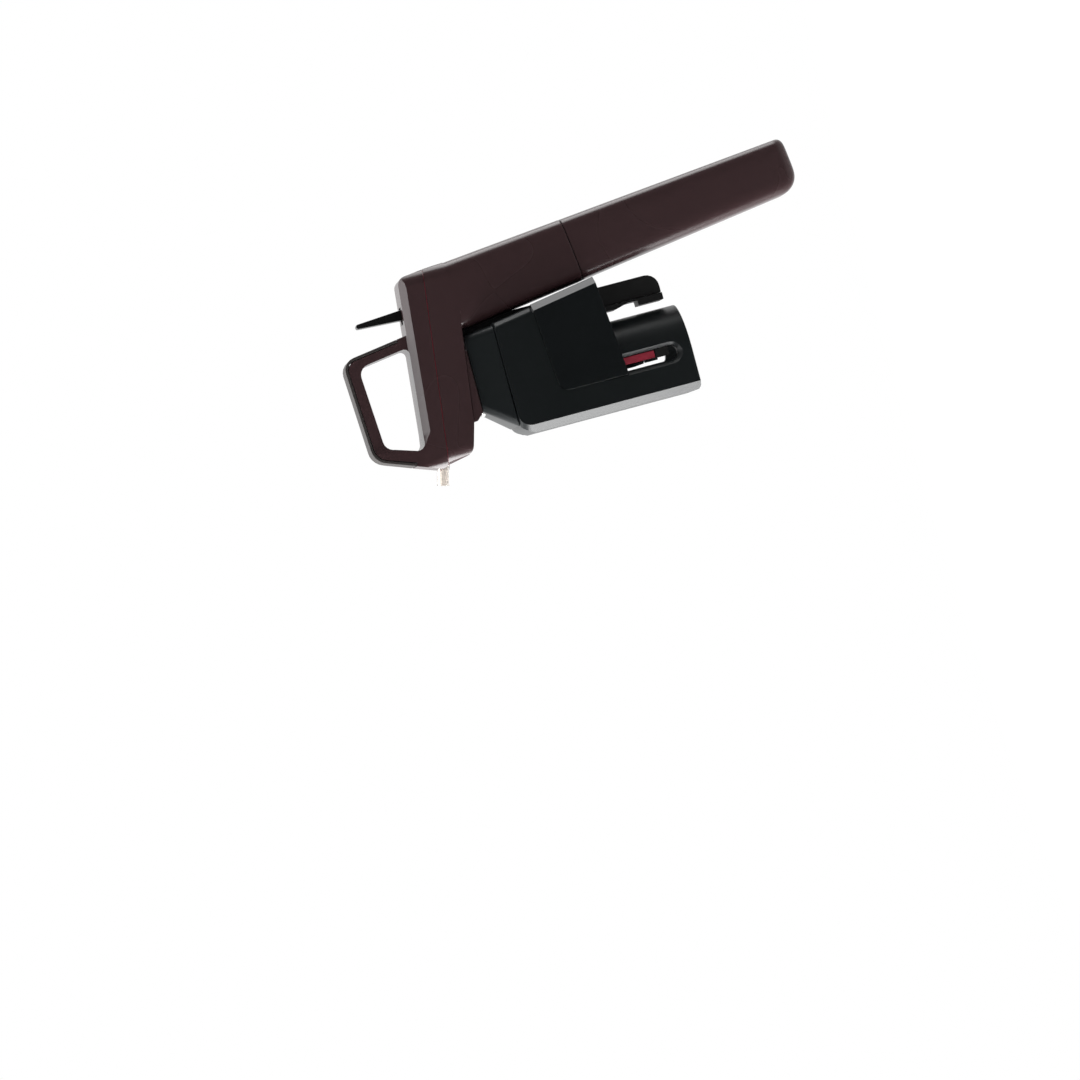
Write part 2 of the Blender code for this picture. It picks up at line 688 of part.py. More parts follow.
def make_clamp(colours):
    """The sleeve with its housing, the neck block, the plates and what is fixed in them."""
    black = colours["clamp_black"]
    back_centre = BORE_RADIUS + SLEEVE_BACK_WALL - SLEEVE_HALF
    corners = [(SLEEVE_FRONT, -SLEEVE_HALF, SLEEVE_FRONT_EDGE)]
    for step in range(17):
        angle = math.pi * (step / 16 - 0.5)
        corners.append(
            (back_centre + SLEEVE_HALF * math.cos(angle), SLEEVE_HALF * math.sin(angle), 0)
        )
    corners.append((SLEEVE_FRONT, SLEEVE_HALF, SLEEVE_FRONT_EDGE))
    lower = plate("clamp_sleeve", rounded(corners), 0, SLEEVE_HEIGHT, facing="Z")
    sleeve = add_object("clamp_sleeve", lower, black)

    rings = []
    for height in (PLATE_LOW_FRONT - PLATE_CORNER, SLEEVE_HEIGHT):
        skin = housing_skin(height, 0, 1, back_centre, 0)[:3]
        rings.append(skin + [(x, -y, z) for x, y, z in skin[::-1]])
    housing = cutter("housing", loft("housing", rings), sleeve, operation="UNION")
    far = housing_back(0) + CUT_OVERRUN
    outline = [
        (-SLEEVE_HALF, plate_low(-SLEEVE_HALF)),
        (far, plate_low(far)),
        (far, SLEEVE_HEIGHT + CUT_OVERRUN),
        (-SLEEVE_HALF, SLEEVE_HEIGHT + CUT_OVERRUN),
    ]
    wide = SLEEVE_HALF + CUT_OVERRUN
    cutter("housing_foot", plate("foot", outline, -wide, wide), housing, operation="INTERSECT")

    side_view = rounded(
        [
            (SLEEVE_FRONT, 0, SLEEVE_MOUTH_CORNER),
            (far, 0, 0),
            (far, SLEEVE_HEIGHT, 0),
            (SLEEVE_FRONT, SLEEVE_HEIGHT, SLEEVE_TOP_CORNER),
        ]
    )
    cutter("side_view", plate("side_view", side_view, -wide, wide), sleeve, operation="INTERSECT")
    cutter("bore", rod("bore", BORE_RADIUS, -CUT_OVERRUN, LIP_DEPTH, sides=48), sleeve)

    block = make_neck_block(black)
    guide_hole = rod("guide", GUIDE_RADIUS + SEAT_GAP, LIP_DEPTH - CUT_OVERRUN, BLOCK_TOP + CUT_OVERRUN)
    cutter("guide", guide_hole, sleeve, block)
    flange_seat = BLOCK_TOP - GUIDE_FLANGE_HEIGHT - SEAT_GAP
    flange_hole = rod("guide_flange", GUIDE_FLANGE_RADIUS + SEAT_GAP, flange_seat, BLOCK_TOP + CUT_OVERRUN)
    cutter("guide_flange", flange_hole, block)
    rail_slot("slot", sleeve, block)
    make_stop_pin(sleeve, colours["steel"])
    make_plates(sleeve, colours["gloss_black"])
    jaw_room(sleeve)
    make_block_screws(sleeve, block, colours["steel"])

    guide = turned(
        "needle_guide",
        [
            (GUIDE_FLANGE_RADIUS, BLOCK_TOP),
            (GUIDE_FLANGE_RADIUS, BLOCK_TOP - GUIDE_FLANGE_HEIGHT),
            (GUIDE_RADIUS, BLOCK_TOP - GUIDE_FLANGE_HEIGHT),
            (GUIDE_RADIUS, LIP_DEPTH),
            (NEEDLE_RADIUS + SEAT_GAP, LIP_DEPTH),
            (NEEDLE_RADIUS + SEAT_GAP, BLOCK_TOP),
        ],
    )
    add_object("needle_guide", guide, colours["white_plastic"])
    ring = turned(
        "lip_pad",
        [
            (PAD_RING_RADIUS, LIP_DEPTH - SEAT_GAP),
            (PAD_RING_RADIUS, LIP_DEPTH - PAD_RING_HEIGHT),
            (GUIDE_RADIUS, LIP_DEPTH - PAD_RING_HEIGHT),
            (GUIDE_RADIUS, LIP_DEPTH - SEAT_GAP),
        ],
        sides=32,
    )
    add_object("lip_pad", ring, colours["rubber"])


def make_neck_block(black):
    def ring(height, front, back, half):
        corners = [
            (front, -half, BLOCK_EDGE),
            (back, -half, BLOCK_EDGE),
            (back, half, BLOCK_EDGE),
            (front, half, BLOCK_EDGE),
        ]
        return [(x, y, height) for x, y in rounded(corners, steps=4)]

    rings = [
        ring(BLOCK_FOOT, BLOCK_LOW_FRONT, BLOCK_LOW_BACK, BLOCK_LOW_HALF),
        ring(BLOCK_TOP, BLOCK_TOP_FRONT, BLOCK_TOP_BACK, BLOCK_TOP_HALF),
    ]
    return add_object("neck_block", loft("neck_block", rings), black)


def make_stop_pin(sleeve, steel):
    """The cross pin that the rail's hook meets at the top of the stroke."""
    place = (
        STRIP_FRONT - SEAT_GAP - STOP_PIN_RADIUS,
        0,
        HOOK_HIGH + STROKE + STOP_PIN_MARGIN + STOP_PIN_RADIUS,
    )
    across = (math.pi / 2, 0, 0)
    half = STOP_PIN_LENGTH / 2
    pin = add_object("rail_stop_pin", rod("rail_stop_pin", STOP_PIN_RADIUS, -half, half, sides=16), steel)
    pin.location = place
    pin.rotation_euler = across
    hole = rod("stop_pin", STOP_PIN_RADIUS + SEAT_GAP, -half - SEAT_GAP, half + SEAT_GAP, sides=16)
    cutter("stop_pin", hole, sleeve, location=place, turn=across)


def make_plates(sleeve, gloss):
    inner = PLATE_PROUD - PLATE_THICKNESS
    for side, name in ((1, "left"), (-1, "right")):
        body, outline = plate_body("badge_plate_" + name, side, PLATE_PROUD, inner, 0)
        made = add_object("badge_plate_" + name, body, gloss)
        cutter("plate_outline_" + name, outline, made, operation="INTERSECT")
        body, outline = plate_body("pocket_" + name, side, CUT_OVERRUN, inner - SEAT_GAP, SEAT_GAP)
        pocket = cutter("pocket_" + name, body, sleeve)
        cutter("pocket_outline_" + name, outline, pocket, operation="INTERSECT")


def jaw_room(sleeve):
    """Side windows with their bevelled rims, and the pockets that the jaws hang in."""
    half = WINDOW_WIDTH / 2
    face = SLEEVE_HALF
    pocket_half = JAW_WIDTH / 2 + JAW_SIDE_ROOM
    leaf_room = BORE_RADIUS + JAW_THICKNESS + LEAF_THICKNESS + 2 * SEAT_GAP
    inside = BORE_RADIUS - NECK_CLEARANCE
    for side, name in ((1, "left"), (-1, "right")):
        slot = [
            stadium(half, WINDOW_LOW, WINDOW_HIGH, side * inside),
            stadium(half, WINDOW_LOW, WINDOW_HIGH, side * (face + CUT_OVERRUN)),
        ]
        cutter("window_" + name, loft("window_" + name, slot), sleeve)
        rim = WINDOW_RIM + CUT_OVERRUN
        low = WINDOW_LOW - rim
        bevel = [
            stadium(half, WINDOW_LOW, WINDOW_HIGH, side * (face - WINDOW_RIM)),
            stadium(half + rim, low, WINDOW_HIGH + rim, side * (face + CUT_OVERRUN)),
        ]
        cutter("window_rim_" + name, loft("window_rim_" + name, bevel), sleeve)
        near, away = sorted((side * inside, side * leaf_room))
        pocket = box(
            "jaw_pocket_" + name,
            (JAW_CENTRE - pocket_half, near, WINDOW_HIGH - WINDOW_WIDTH),
            (JAW_CENTRE + pocket_half, away, LEAF_HIGH + SEAT_GAP),
        )
        cutter("jaw_pocket_" + name, pocket, sleeve)
        half_pin = JAW_PIN_LENGTH / 2
        far_end = half_pin + SEAT_GAP
        hole = rod("jaw_pin_" + name, JAW_PIN_RADIUS + SEAT_GAP, -far_end, far_end, 12)
        place = (JAW_CENTRE, side * JAW_PIN_SIDE, JAW_PIN_HEIGHT)
        cutter("jaw_pin_" + name, hole, sleeve, location=place, turn=(0, math.pi / 2, 0))


def make_block_screws(sleeve, block, steel):
    """Two screws from under the sleeve's roof up into the neck block."""
    across, aside = BLOCK_SCREW_PLACE
    head_room = SCREW_HEAD_HEIGHT + SEAT_GAP
    for side, name in ((1, "left"), (-1, "right")):
        place = (across, side * aside, LIP_DEPTH + head_room)
        made = add_object("block_screw_" + name, screw_mesh("block_screw", BLOCK_SCREW_LENGTH), steel)
        made.location = place
        made.rotation_euler = (math.pi, 0, 0)
        seat_foot = -head_room - CUT_OVERRUN
        seat = rod("block_screw_seat_" + name, SCREW_HEAD_RADIUS + SEAT_GAP, seat_foot, SEAT_GAP, 12)
        cutter("block_screw_seat_" + name, seat, sleeve, location=place)
        shank_end = BLOCK_SCREW_LENGTH + SEAT_GAP
        shank = rod("block_screw_" + name, SCREW_SHANK_RADIUS + SEAT_GAP, 0, shank_end, 12)
        cutter("block_screw_" + name, shank, sleeve, block, location=place)


def make_jaws(colours):
    """Both sprung jaws: a red arm with a black pad, its pin and its leaf spring."""
    outer = BORE_RADIUS + JAW_THICKNESS
    top = JAW_PIN_HEIGHT + JAW_TAIL
    end = JAW_THICKNESS / 3
    low, high = JAW_CENTRE - JAW_WIDTH / 2, JAW_CENTRE + JAW_WIDTH / 2
    pad_low, pad_high = JAW_CENTRE - PAD_WIDTH / 2, JAW_CENTRE + PAD_WIDTH / 2
    for side, name in ((1, "left"), (-1, "right")):
        hinge_place = (JAW_CENTRE, side * JAW_PIN_SIDE, JAW_PIN_HEIGHT)
        hinge = pivot("jaw_hinge_" + name, hinge_place)
        shift = Matrix.Translation(-Vector(hinge_place))

        arm_outline = rounded(
            [
                (side * BORE_RADIUS, JAW_LOW, 0),
                (side * outer, JAW_LOW, 0),
                (side * outer, top, end),
                (side * BORE_RADIUS, top, end),
            ],
            steps=3,
        )
        arm_mesh = plate("jaw_" + name, arm_outline, low, high, facing="X")
        arm_mesh.transform(shift)
        arm = add_object("jaw_" + name, arm_mesh, colours["red"], parent=hinge)
        hole = rod("jaw_hole_" + name, JAW_PIN_RADIUS + JAW_PIN_GAP, -JAW_WIDTH, JAW_WIDTH, 12)
        cutter("jaw_hole_" + name, hole, arm, location=hinge_place, turn=(0, math.pi / 2, 0))

        inner = NECK_RADIUS - PAD_SQUEEZE
        ramp = BORE_RADIUS - inner
        pad_outline = rounded(
            [
                (side * inner, PAD_LOW + ramp, end),
                (side * BORE_RADIUS, PAD_LOW, end),
                (side * outer, PAD_LOW, end),
                (side * outer, JAW_LOW - SEAT_GAP, 0),
                (side * inner, JAW_LOW - SEAT_GAP, 0),
            ],
            steps=3,
        )
        pad_mesh = plate("jaw_pad_" + name, pad_outline, pad_low, pad_high, facing="X")
        pad_mesh.transform(shift)
        add_object("jaw_pad_" + name, pad_mesh, colours["rubber"], parent=hinge)

        half_pin = JAW_PIN_LENGTH / 2
        pin_mesh = rod("jaw_pin_" + name, JAW_PIN_RADIUS, -half_pin, half_pin, sides=12)
        pin = add_object("jaw_pin_" + name, pin_mesh, colours["steel"])
        pin.location = hinge_place
        pin.rotation_euler = (0, math.pi / 2, 0)

        near, away = sorted((side * (outer + SEAT_GAP), side * (outer + SEAT_GAP + LEAF_THICKNESS)))
        leaf = box(
            "jaw_leaf_" + name,
            (JAW_CENTRE - LEAF_WIDTH / 2, near, LEAF_LOW),
            (JAW_CENTRE + LEAF_WIDTH / 2, away, LEAF_HIGH),
        )
        add_object("jaw_leaf_" + name, leaf, colours["steel"])


def handle_point(across, along):
    """World x and z of a point in the handle's own section plane."""
    sine, cosine = math.sin(HANDLE_LEAN), math.cos(HANDLE_LEAN)
    return (
        HANDLE_SEAM[0] + across * cosine - along * sine,
        HANDLE_SEAM[1] + across * sine + along * cosine,
    )


def make_rail(colours, slide, head):
    """The guide rail on the head, its front strip with notch and hook, and its screws."""
    web_half = RAIL_WEB_WIDTH / 2
    half_gap = SEAT_GAP / 2
    web = rounded(
        [
            (RAIL_PARTING + half_gap, RAIL_TIP, 0),
            (RAIL_BACK, RAIL_TIP, RAIL_TIP_CORNER),
            (RAIL_BACK, RAIL_TOP, 0),
            (RAIL_PARTING + half_gap, RAIL_TOP, 0),
        ]
    )
    web_mesh = plate("guide_rail", web, -web_half, web_half)
    rail = add_object("guide_rail", web_mesh, colours["rail_black"], slide)
    strip = [
        (RAIL_PARTING - half_gap, RAIL_TIP),
        (RAIL_PARTING - half_gap, RAIL_TOP),
        (STRIP_FRONT, RAIL_TOP),
        (STRIP_FRONT, NOTCH_RAMP_HIGH),
        (NOTCH_FLOOR, NOTCH_HIGH),
        (NOTCH_FLOOR, HOOK_HIGH),
        (HOOK_FRONT, HOOK_HIGH),
        (HOOK_FRONT, RAIL_TIP),
    ]
    strip_half = STRIP_WIDTH / 2
    mesh = plate("rail_strip", strip, -strip_half, strip_half)
    add_object("rail_strip", mesh, colours["rail_black"], slide)

    pocket = box(
        "rail_pocket",
        (STRIP_FRONT, -web_half - SEAT_GAP, HANDLE_SEAM[1]),
        (RAIL_BACK + SEAT_GAP, web_half + SEAT_GAP, RAIL_TOP + SEAT_GAP),
    )
    cutter("rail_pocket", pocket, head)
    seat = RAIL_PARTING + half_gap + SCREW_HEAD_HEIGHT + SEAT_GAP
    turn = (0, -math.pi / 2, 0)
    for number, drop in enumerate(RAIL_SCREW_DROPS, start=1):
        name = f"rail_screw_{number}"
        height = RAIL_TOP - drop
        screw = add_object(name, screw_mesh(name, RAIL_SCREW_LENGTH), colours["steel"], slide)
        screw.location = (seat, 0, height)
        screw.rotation_euler = turn
        head_room = SCREW_HEAD_HEIGHT + CUT_OVERRUN
        hole = rod(name + "_seat", SCREW_HEAD_RADIUS + SEAT_GAP, -SEAT_GAP, head_room, 12)
        cutter(name + "_seat", hole, rail, location=(seat, 0, height), turn=turn)
        hole = rod(name, SCREW_SHANK_RADIUS + SEAT_GAP, -RAIL_SCREW_LENGTH - SEAT_GAP, 0, 12)
        cutter(name, hole, rail, head, location=(seat, 0, height), turn=turn)


def head_plan(front, back, low, high, name):
    """The head's outline seen from above, as a cutter that rounds its upright corners."""
    corners = [
        (front, -HEAD_HALF, HEAD_CORNER),
        (back, -HEAD_HALF, HEAD_CORNER),
        (back, HEAD_HALF, HEAD_CORNER),
        (front, HEAD_HALF, HEAD_CORNER),
    ]
    return plate(name, rounded(corners), low, high, facing="Z")


def make_head(colours, slide, handle):
    """The head's body with its arm, and the flange below it."""
    wide = HEAD_HALF + CUT_OVERRUN
    arm_back = handle_point(handle_half(ARM_LENGTH), ARM_LENGTH - CUP_SIDE_ROUND)
    floor_end = handle_point(0, ARM_LENGTH)[0]
    outline = rounded(
        [
            (SEAM_FRONT, seam_height(SEAM_FRONT), 0),
            (*NOSE_CORNER, NOSE_ROUND),
            (HEAD_FLOOR_START, HEAD_FLOOR_FRONT, 0),
            (floor_end, head_floor(floor_end), 0),
            (*arm_back, 0),
            (SEAM_BACK, seam_height(SEAM_BACK), 0),
        ]
    )
    head = add_object("head_body", plate("head_body", outline, -wide, wide), colours["burgundy"], slide)
    plan = head_plan(SEAM_FRONT, arm_back[0], HANDLE_SEAM[1], CAP_TOP_FRONT, "head_plan")
    cutter("head_plan", plan, head, operation="INTERSECT")
    rings = []
    for along in (SEAT_GAP / 2, ARM_LENGTH):
        half = handle_half(along)
        rings.append(handle_ring(along, -half, half, handle_half_depth(along)))
    cutter("arm", loft("arm", rings), head, operation="UNION", parent=handle)
    trim = [
        (SEAM_FRONT - CAP_CHAMFER, seam_height(SEAM_FRONT - CAP_CHAMFER)),
        (SEAM_BACK + CAP_CHAMFER, seam_height(SEAM_BACK + CAP_CHAMFER)),
        (SEAM_BACK + CAP_CHAMFER, CAP_TOP_FRONT),
        (SEAM_FRONT - CAP_CHAMFER, CAP_TOP_FRONT),
    ]
    cutter("seam", plate("seam", trim, -wide - CUT_OVERRUN, wide + CUT_OVERRUN), head)
    bore = rod("regulator", SPIGOT_RADIUS + SEAT_GAP, -CUT_OVERRUN, REGULATOR_HEIGHT + SEAT_GAP, sides=40)
    cutter("regulator", bore, head, parent=handle)

    foot = rounded(
        [
            (FLANGE_FOOT_FRONT, FLANGE_FOOT, FLANGE_CORNER),
            (FLANGE_BACK, FLANGE_FOOT, 0),
            (FLANGE_BACK, head_floor(FLANGE_BACK) - SEAT_GAP, 0),
            (FLANGE_FRONT, head_floor(FLANGE_FRONT) - SEAT_GAP, 0),
            (FLANGE_FRONT, FLANGE_FOOT - FLANGE_FRONT + FLANGE_FOOT_FRONT, FLANGE_CORNER),
        ],
        steps=3,
    )
    flange_mesh = plate("head_flange", foot, -FLANGE_HALF, FLANGE_HALF)
    flange = add_object("head_flange", flange_mesh, colours["burgundy"], slide)
    needle_hole = rod("needle", NEEDLE_RADIUS + 2 * SEAT_GAP, BLOCK_TOP, HUB_FOOT, sides=16)
    cutter("needle", needle_hole, head, flange)
    return head


def loop_back(height):
    """Place of the finger loop's back edge at a height."""
    root = cap_top(LOOP_ROOT_BACK)
    share = (height - root) / (LOOP_HEIGHT - root)
    return LOOP_ROOT_BACK + share * (LOOP_TOP_BACK - LOOP_ROOT_BACK)


def offset_chain(points, distance):
    """A chain of points pushed sideways, to the left of its run, by a distance."""
    moved = []
    for index, point in enumerate(points):
        before = Vector(points[max(index - 1, 0)])
        after = Vector(points[min(index + 1, len(points) - 1)])
        run = (after - before).normalized()
        moved.append((point[0] - run.y * distance, point[1] + run.x * distance))
    return moved


def cap_sections():
    """The cap's section seen from the front: a chamfer behind the finger window, a flat side before it."""
    rise = LOOP_HEIGHT - cap_top(SEAM_BACK)
    span = SEAM_BACK - LOOP_LIP[0]
    chamfered = HEAD_HALF - CAP_CHAMFER - SEAT_GAP
    taper = (HEAD_HALF - LOOP_TOP_HALF) / (rise + CAP_CHAMFER)
    plain = HEAD_HALF - taper * (CAP_CHAMFER + SEAT_GAP)
    rings = []
    for place, edge in (
        (-span, plain),
        (CHAMFER_END - CAP_TOP_FRONT_PLACE, plain),
        (CHAMFER_START - CAP_TOP_FRONT_PLACE, chamfered),
        (span, chamfered),
    ):
        half = [(HEAD_HALF, -rise), (HEAD_HALF, -CAP_CHAMFER), (edge, SEAT_GAP), (LOOP_TOP_HALF, rise)]
        right = [(place, -aside, height) for aside, height in half[::-1]]
        rings.append([(place, aside, height) for aside, height in half] + right)
    mesh = loft("cap_front_view", rings)
    builder = bmesh.new()
    builder.from_mesh(mesh)
    bmesh.ops.triangulate(builder, faces=builder.faces)
    return mesh_from(builder, "cap_front_view")


def make_cap(colours, slide):
    """The cap with its finger loop, and the strip that forms the loop's outer edge."""
    wide = HEAD_HALF + CUT_OVERRUN
    front_corner = (LOOP_TOP_FRONT, LOOP_FRONT_HEIGHT, LOOP_FRONT_CORNER)
    back_corner = (LOOP_TOP_BACK, LOOP_HEIGHT, LOOP_BACK_CORNER)
    lean = (LOOP_TOP_FRONT - LOOP_LIP[0]) / (LOOP_FRONT_HEIGHT - LOOP_LIP[1])
    start_height = cap_top(LOOP_LIP[0]) + RIM_FOOT
    end_height = cap_top(LOOP_ROOT_BACK) + RIM_FOOT
    start = (LOOP_LIP[0] + lean * (start_height - LOOP_LIP[1]), start_height)
    end = (loop_back(end_height), end_height)
    chain = rounded([(*start, 0), front_corner, back_corner, (*end, 0)])
    inner = offset_chain(chain, -RIM_THICKNESS)
    rim_mesh = plate("loop_rim", chain + inner[::-1], -wide, wide)
    rim = add_object("loop_rim", rim_mesh, colours["rim_grey"], slide)

    seat = offset_chain(chain, -RIM_THICKNESS - SEAT_GAP)
    seat[0] = (seat[0][0], seat[0][1] - SEAT_GAP)
    seat[-1] = (seat[-1][0], seat[-1][1] - SEAT_GAP)
    back_top = SEAM_BACK - CAP_BACK_LEAN
    low_edge = rounded(
        [
            (*LOOP_LIP, 0),
            (SEAM_FRONT, seam_height(SEAM_FRONT) + SEAT_GAP, 0),
            (SEAM_BACK, seam_height(SEAM_BACK) + SEAT_GAP, 0),
            (back_top, cap_top(back_top), CAP_BACK_CORNER),
            (LOOP_ROOT_BACK, cap_top(LOOP_ROOT_BACK), 0),
            (loop_back(end_height - SEAT_GAP), end_height - SEAT_GAP, 0),
        ]
    )
    ledge = (start[0] - lean * SEAT_GAP, start_height - SEAT_GAP)
    outline = low_edge + seat[::-1] + [ledge]
    cap = add_object("top_cap", plate("top_cap", outline, -wide, wide), colours["burgundy"], slide)
    under_beam = LOOP_HEIGHT - LOOP_BEAM
    window = rounded(
        [
            (FINGER_FRONT, cap_top(FINGER_FRONT), FINGER_CORNER / 2),
            (loop_back(cap_top(LOOP_TOP_BACK)) - LOOP_POST, cap_top(LOOP_TOP_BACK), FINGER_CORNER / 2),
            (loop_back(under_beam) - LOOP_POST, under_beam, FINGER_CORNER),
            (FINGER_FRONT, LOOP_FRONT_HEIGHT - LOOP_BEAM, FINGER_CORNER),
        ]
    )
    past = wide + CUT_OVERRUN
    cutter("finger_window", plate("finger_window", window, -past, past), cap)
    front = LOOP_LIP[0] - SEAT_GAP
    back = SEAM_BACK + SEAT_GAP
    plan = head_plan(front, back, HEAD_FLOOR_FRONT, LOOP_HEIGHT + CUT_OVERRUN, "cap_plan")
    cutter("cap_plan", plan, cap, rim, operation="INTERSECT")
    cutter(
        "cap_front_view",
        cap_sections(),
        cap,
        rim,
        operation="INTERSECT",
        location=(CAP_TOP_FRONT_PLACE, 0, CAP_TOP_FRONT),
        turn=(0, CAP_TOP_SLOPE, 0),
    )
    cavity = [
        (CAP_CAVITY_FRONT, seam_height(CAP_CAVITY_FRONT) - CUT_OVERRUN),
        (CAP_CAVITY_BACK, seam_height(CAP_CAVITY_BACK) - CUT_OVERRUN),
        (CAP_CAVITY_BACK, cap_top(CAP_CAVITY_BACK) - CAP_WALL),
        (CAP_CAVITY_FRONT, cap_top(CAP_CAVITY_FRONT) - CAP_WALL),
    ]
    cutter("cap_cavity", plate("cap_cavity", cavity, -CAP_CAVITY_HALF, CAP_CAVITY_HALF), cap)
    return cap


def make_cap_screws(colours, slide, head, cap):
    for row, across in enumerate(CAP_SCREW_ROWS, start=1):
        seat = head_floor(across) + SCREW_HEAD_HEIGHT + SEAT_GAP
        length = seam_height(across) + CAP_SCREW_BITE - seat
        for side, name in ((1, "left"), (-1, "right")):
            screw_name = f"cap_screw_{name}_{row}"
            place = (across, side * CAP_SCREW_SIDE, seat)
            shape = screw_mesh(screw_name, length)
            screw = add_object(screw_name, shape, colours["steel"], slide)
            screw.location = place
            screw.rotation_euler = (math.pi, 0, 0)
            room = SCREW_HEAD_HEIGHT + SCREW_HEAD_RADIUS
            hole = rod(screw_name + "_seat", SCREW_HEAD_RADIUS + SEAT_GAP, -room, SEAT_GAP, 12)
            cutter(screw_name + "_seat", hole, head, location=place)
            hole = rod(screw_name, SCREW_SHANK_RADIUS + SEAT_GAP, 0, length + SEAT_GAP, 12)
            cutter(screw_name, hole, head, cap, location=place)


def make_trigger(colours, slide, cap):
    """The trigger lever with the nose that presses the valve's stem, and its pin."""
    across, height = TRIGGER_PIVOT
    hinge = pivot("trigger_hinge", (across, 0, height), parent=slide)
    root = TRIGGER_ROOT_WIDTH / 2
    point = TRIGGER_TIP_WIDTH / 2
    blunt = point - SEAT_GAP / 3
    nose = TRIGGER_NOSE_RADIUS
    reach = TRIGGER_NOSE_ARM + nose
    outline = rounded(
        [
            (point - TRIGGER_TIP_LEAN, TRIGGER_REACH, blunt),
            (-point - TRIGGER_TIP_LEAN, TRIGGER_REACH, blunt),
            (-root, 2 * nose, nose),
            (-reach, nose, nose / 2),
            (-reach, -nose, nose / 2),
            (-root, -nose, nose / 2),
            (nose / 2 - root, -root, nose / 2),
            (root, -root, nose),
        ],
        steps=3,
    )
    lever_mesh = plate("trigger", outline, -TRIGGER_HALF, TRIGGER_HALF)
    lever = add_object("trigger", lever_mesh, colours["clamp_black"], hinge)
    across_turn = (math.pi / 2, 0, 0)
    place = (across, 0, height)
    hole = rod("trigger_hole", TRIGGER_PIN_RADIUS + TRIGGER_RUN_GAP, -HEAD_HALF, HEAD_HALF, 16)
    cutter("trigger_hole", hole, lever, location=place, turn=across_turn)
    half_pin = CAP_CAVITY_HALF + TRIGGER_PIN_BITE
    pin = add_object(
        "trigger_pin", rod("trigger_pin", TRIGGER_PIN_RADIUS, -half_pin, half_pin, 16), colours["steel"], slide
    )
    pin.location = place
    pin.rotation_euler = across_turn
    hole = rod("trigger_pin", TRIGGER_PIN_RADIUS + SEAT_GAP, -half_pin - SEAT_GAP, half_pin + SEAT_GAP, 16)
    cutter("trigger_pin", hole, cap, location=place, turn=across_turn)
    top = cap_top(across)
    swing = (top - height) * math.tan(TRIGGER_THROW)
    slot = box(
        "trigger_slot",
        (across - root - swing - TRIGGER_SLOT_MARGIN, -TRIGGER_HALF - TRIGGER_SLOT_MARGIN, height),
        (across + root + TRIGGER_SLOT_MARGIN, TRIGGER_HALF + TRIGGER_SLOT_MARGIN, top + CAP_WALL),
    )
    cutter("trigger_slot", slot, cap)


def make_valve(colours, slide, head):
    """The valve under the trigger's nose: body, sprung stem, seal and gland."""
    across = TRIGGER_PIVOT[0] - TRIGGER_NOSE_ARM
    top = VALVE_FOOT + VALVE_HEIGHT
    bore = VALVE_RADIUS - VALVE_WALL
    floor = VALVE_FOOT + VALVE_FLOOR
    body = turned(
        "valve_body",
        [
            (VALVE_RADIUS, top),
            (VALVE_RADIUS, VALVE_FOOT),
            (PORT_RADIUS, VALVE_FOOT),
            (PORT_RADIUS, floor),
            (bore, floor),
            (bore, top),
        ],
    )
    stem = turned(
        "valve_stem",
        [
            (0, STEM_TOP),
            (STEM_RADIUS, STEM_TOP),
            (STEM_RADIUS, STEM_COLLAR_FOOT + STEM_COLLAR_HEIGHT),
            (STEM_COLLAR_RADIUS, STEM_COLLAR_FOOT + STEM_COLLAR_HEIGHT),
            (STEM_COLLAR_RADIUS, STEM_COLLAR_FOOT),
            (STEM_RADIUS, STEM_COLLAR_FOOT),
            (STEM_RADIUS, floor + STEM_COLLAR_HEIGHT),
            (0, floor + STEM_COLLAR_HEIGHT),
        ],
        sides=16,
    )
    slip = STEM_RADIUS + SEAT_GAP
    plug = bore - SEAT_GAP
    gland = turned(
        "valve_gland",
        [
            (VALVE_RADIUS, top + SEAT_GAP + VALVE_FLOOR),
            (VALVE_RADIUS, top + SEAT_GAP),
            (plug, top + SEAT_GAP),
            (plug, top - GLAND_HEIGHT),
            (slip, top - GLAND_HEIGHT),
            (slip, top + SEAT_GAP + VALVE_FLOOR),
        ],
    )
    seal_top = top - GLAND_HEIGHT - SEAT_GAP
    seal_foot = STEM_COLLAR_FOOT + STEM_COLLAR_HEIGHT + SEAT_GAP
    seal = turned(
        "valve_seal",
        [(plug, seal_top), (plug, seal_foot), (slip, seal_foot), (slip, seal_top)],
        sides=16,
    )
    wire = VALVE_SPRING_WIRE
    coil_radius = (STEM_RADIUS + bore) / 2
    low = floor + wire + SEAT_GAP
    high = STEM_COLLAR_FOOT - wire - SEAT_GAP
    spring = tube("valve_spring", coil(coil_radius, low, high, VALVE_SPRING_CURLS), wire)
    place = (across, 0, 0)
    for name, mesh, finish in (
        ("valve_body", body, "brass"),
        ("valve_stem", stem, "steel"),
        ("valve_gland", gland, "brass"),
        ("valve_seal", seal, "rubber"),
        ("valve_spring", spring, "steel"),
    ):
        add_object(name, mesh, colours[finish], slide).location = place
    room = rod("valve", VALVE_RADIUS + SEAT_GAP, VALVE_FOOT - SEAT_GAP, seam_height(0))
    cutter("valve", room, head, location=place)


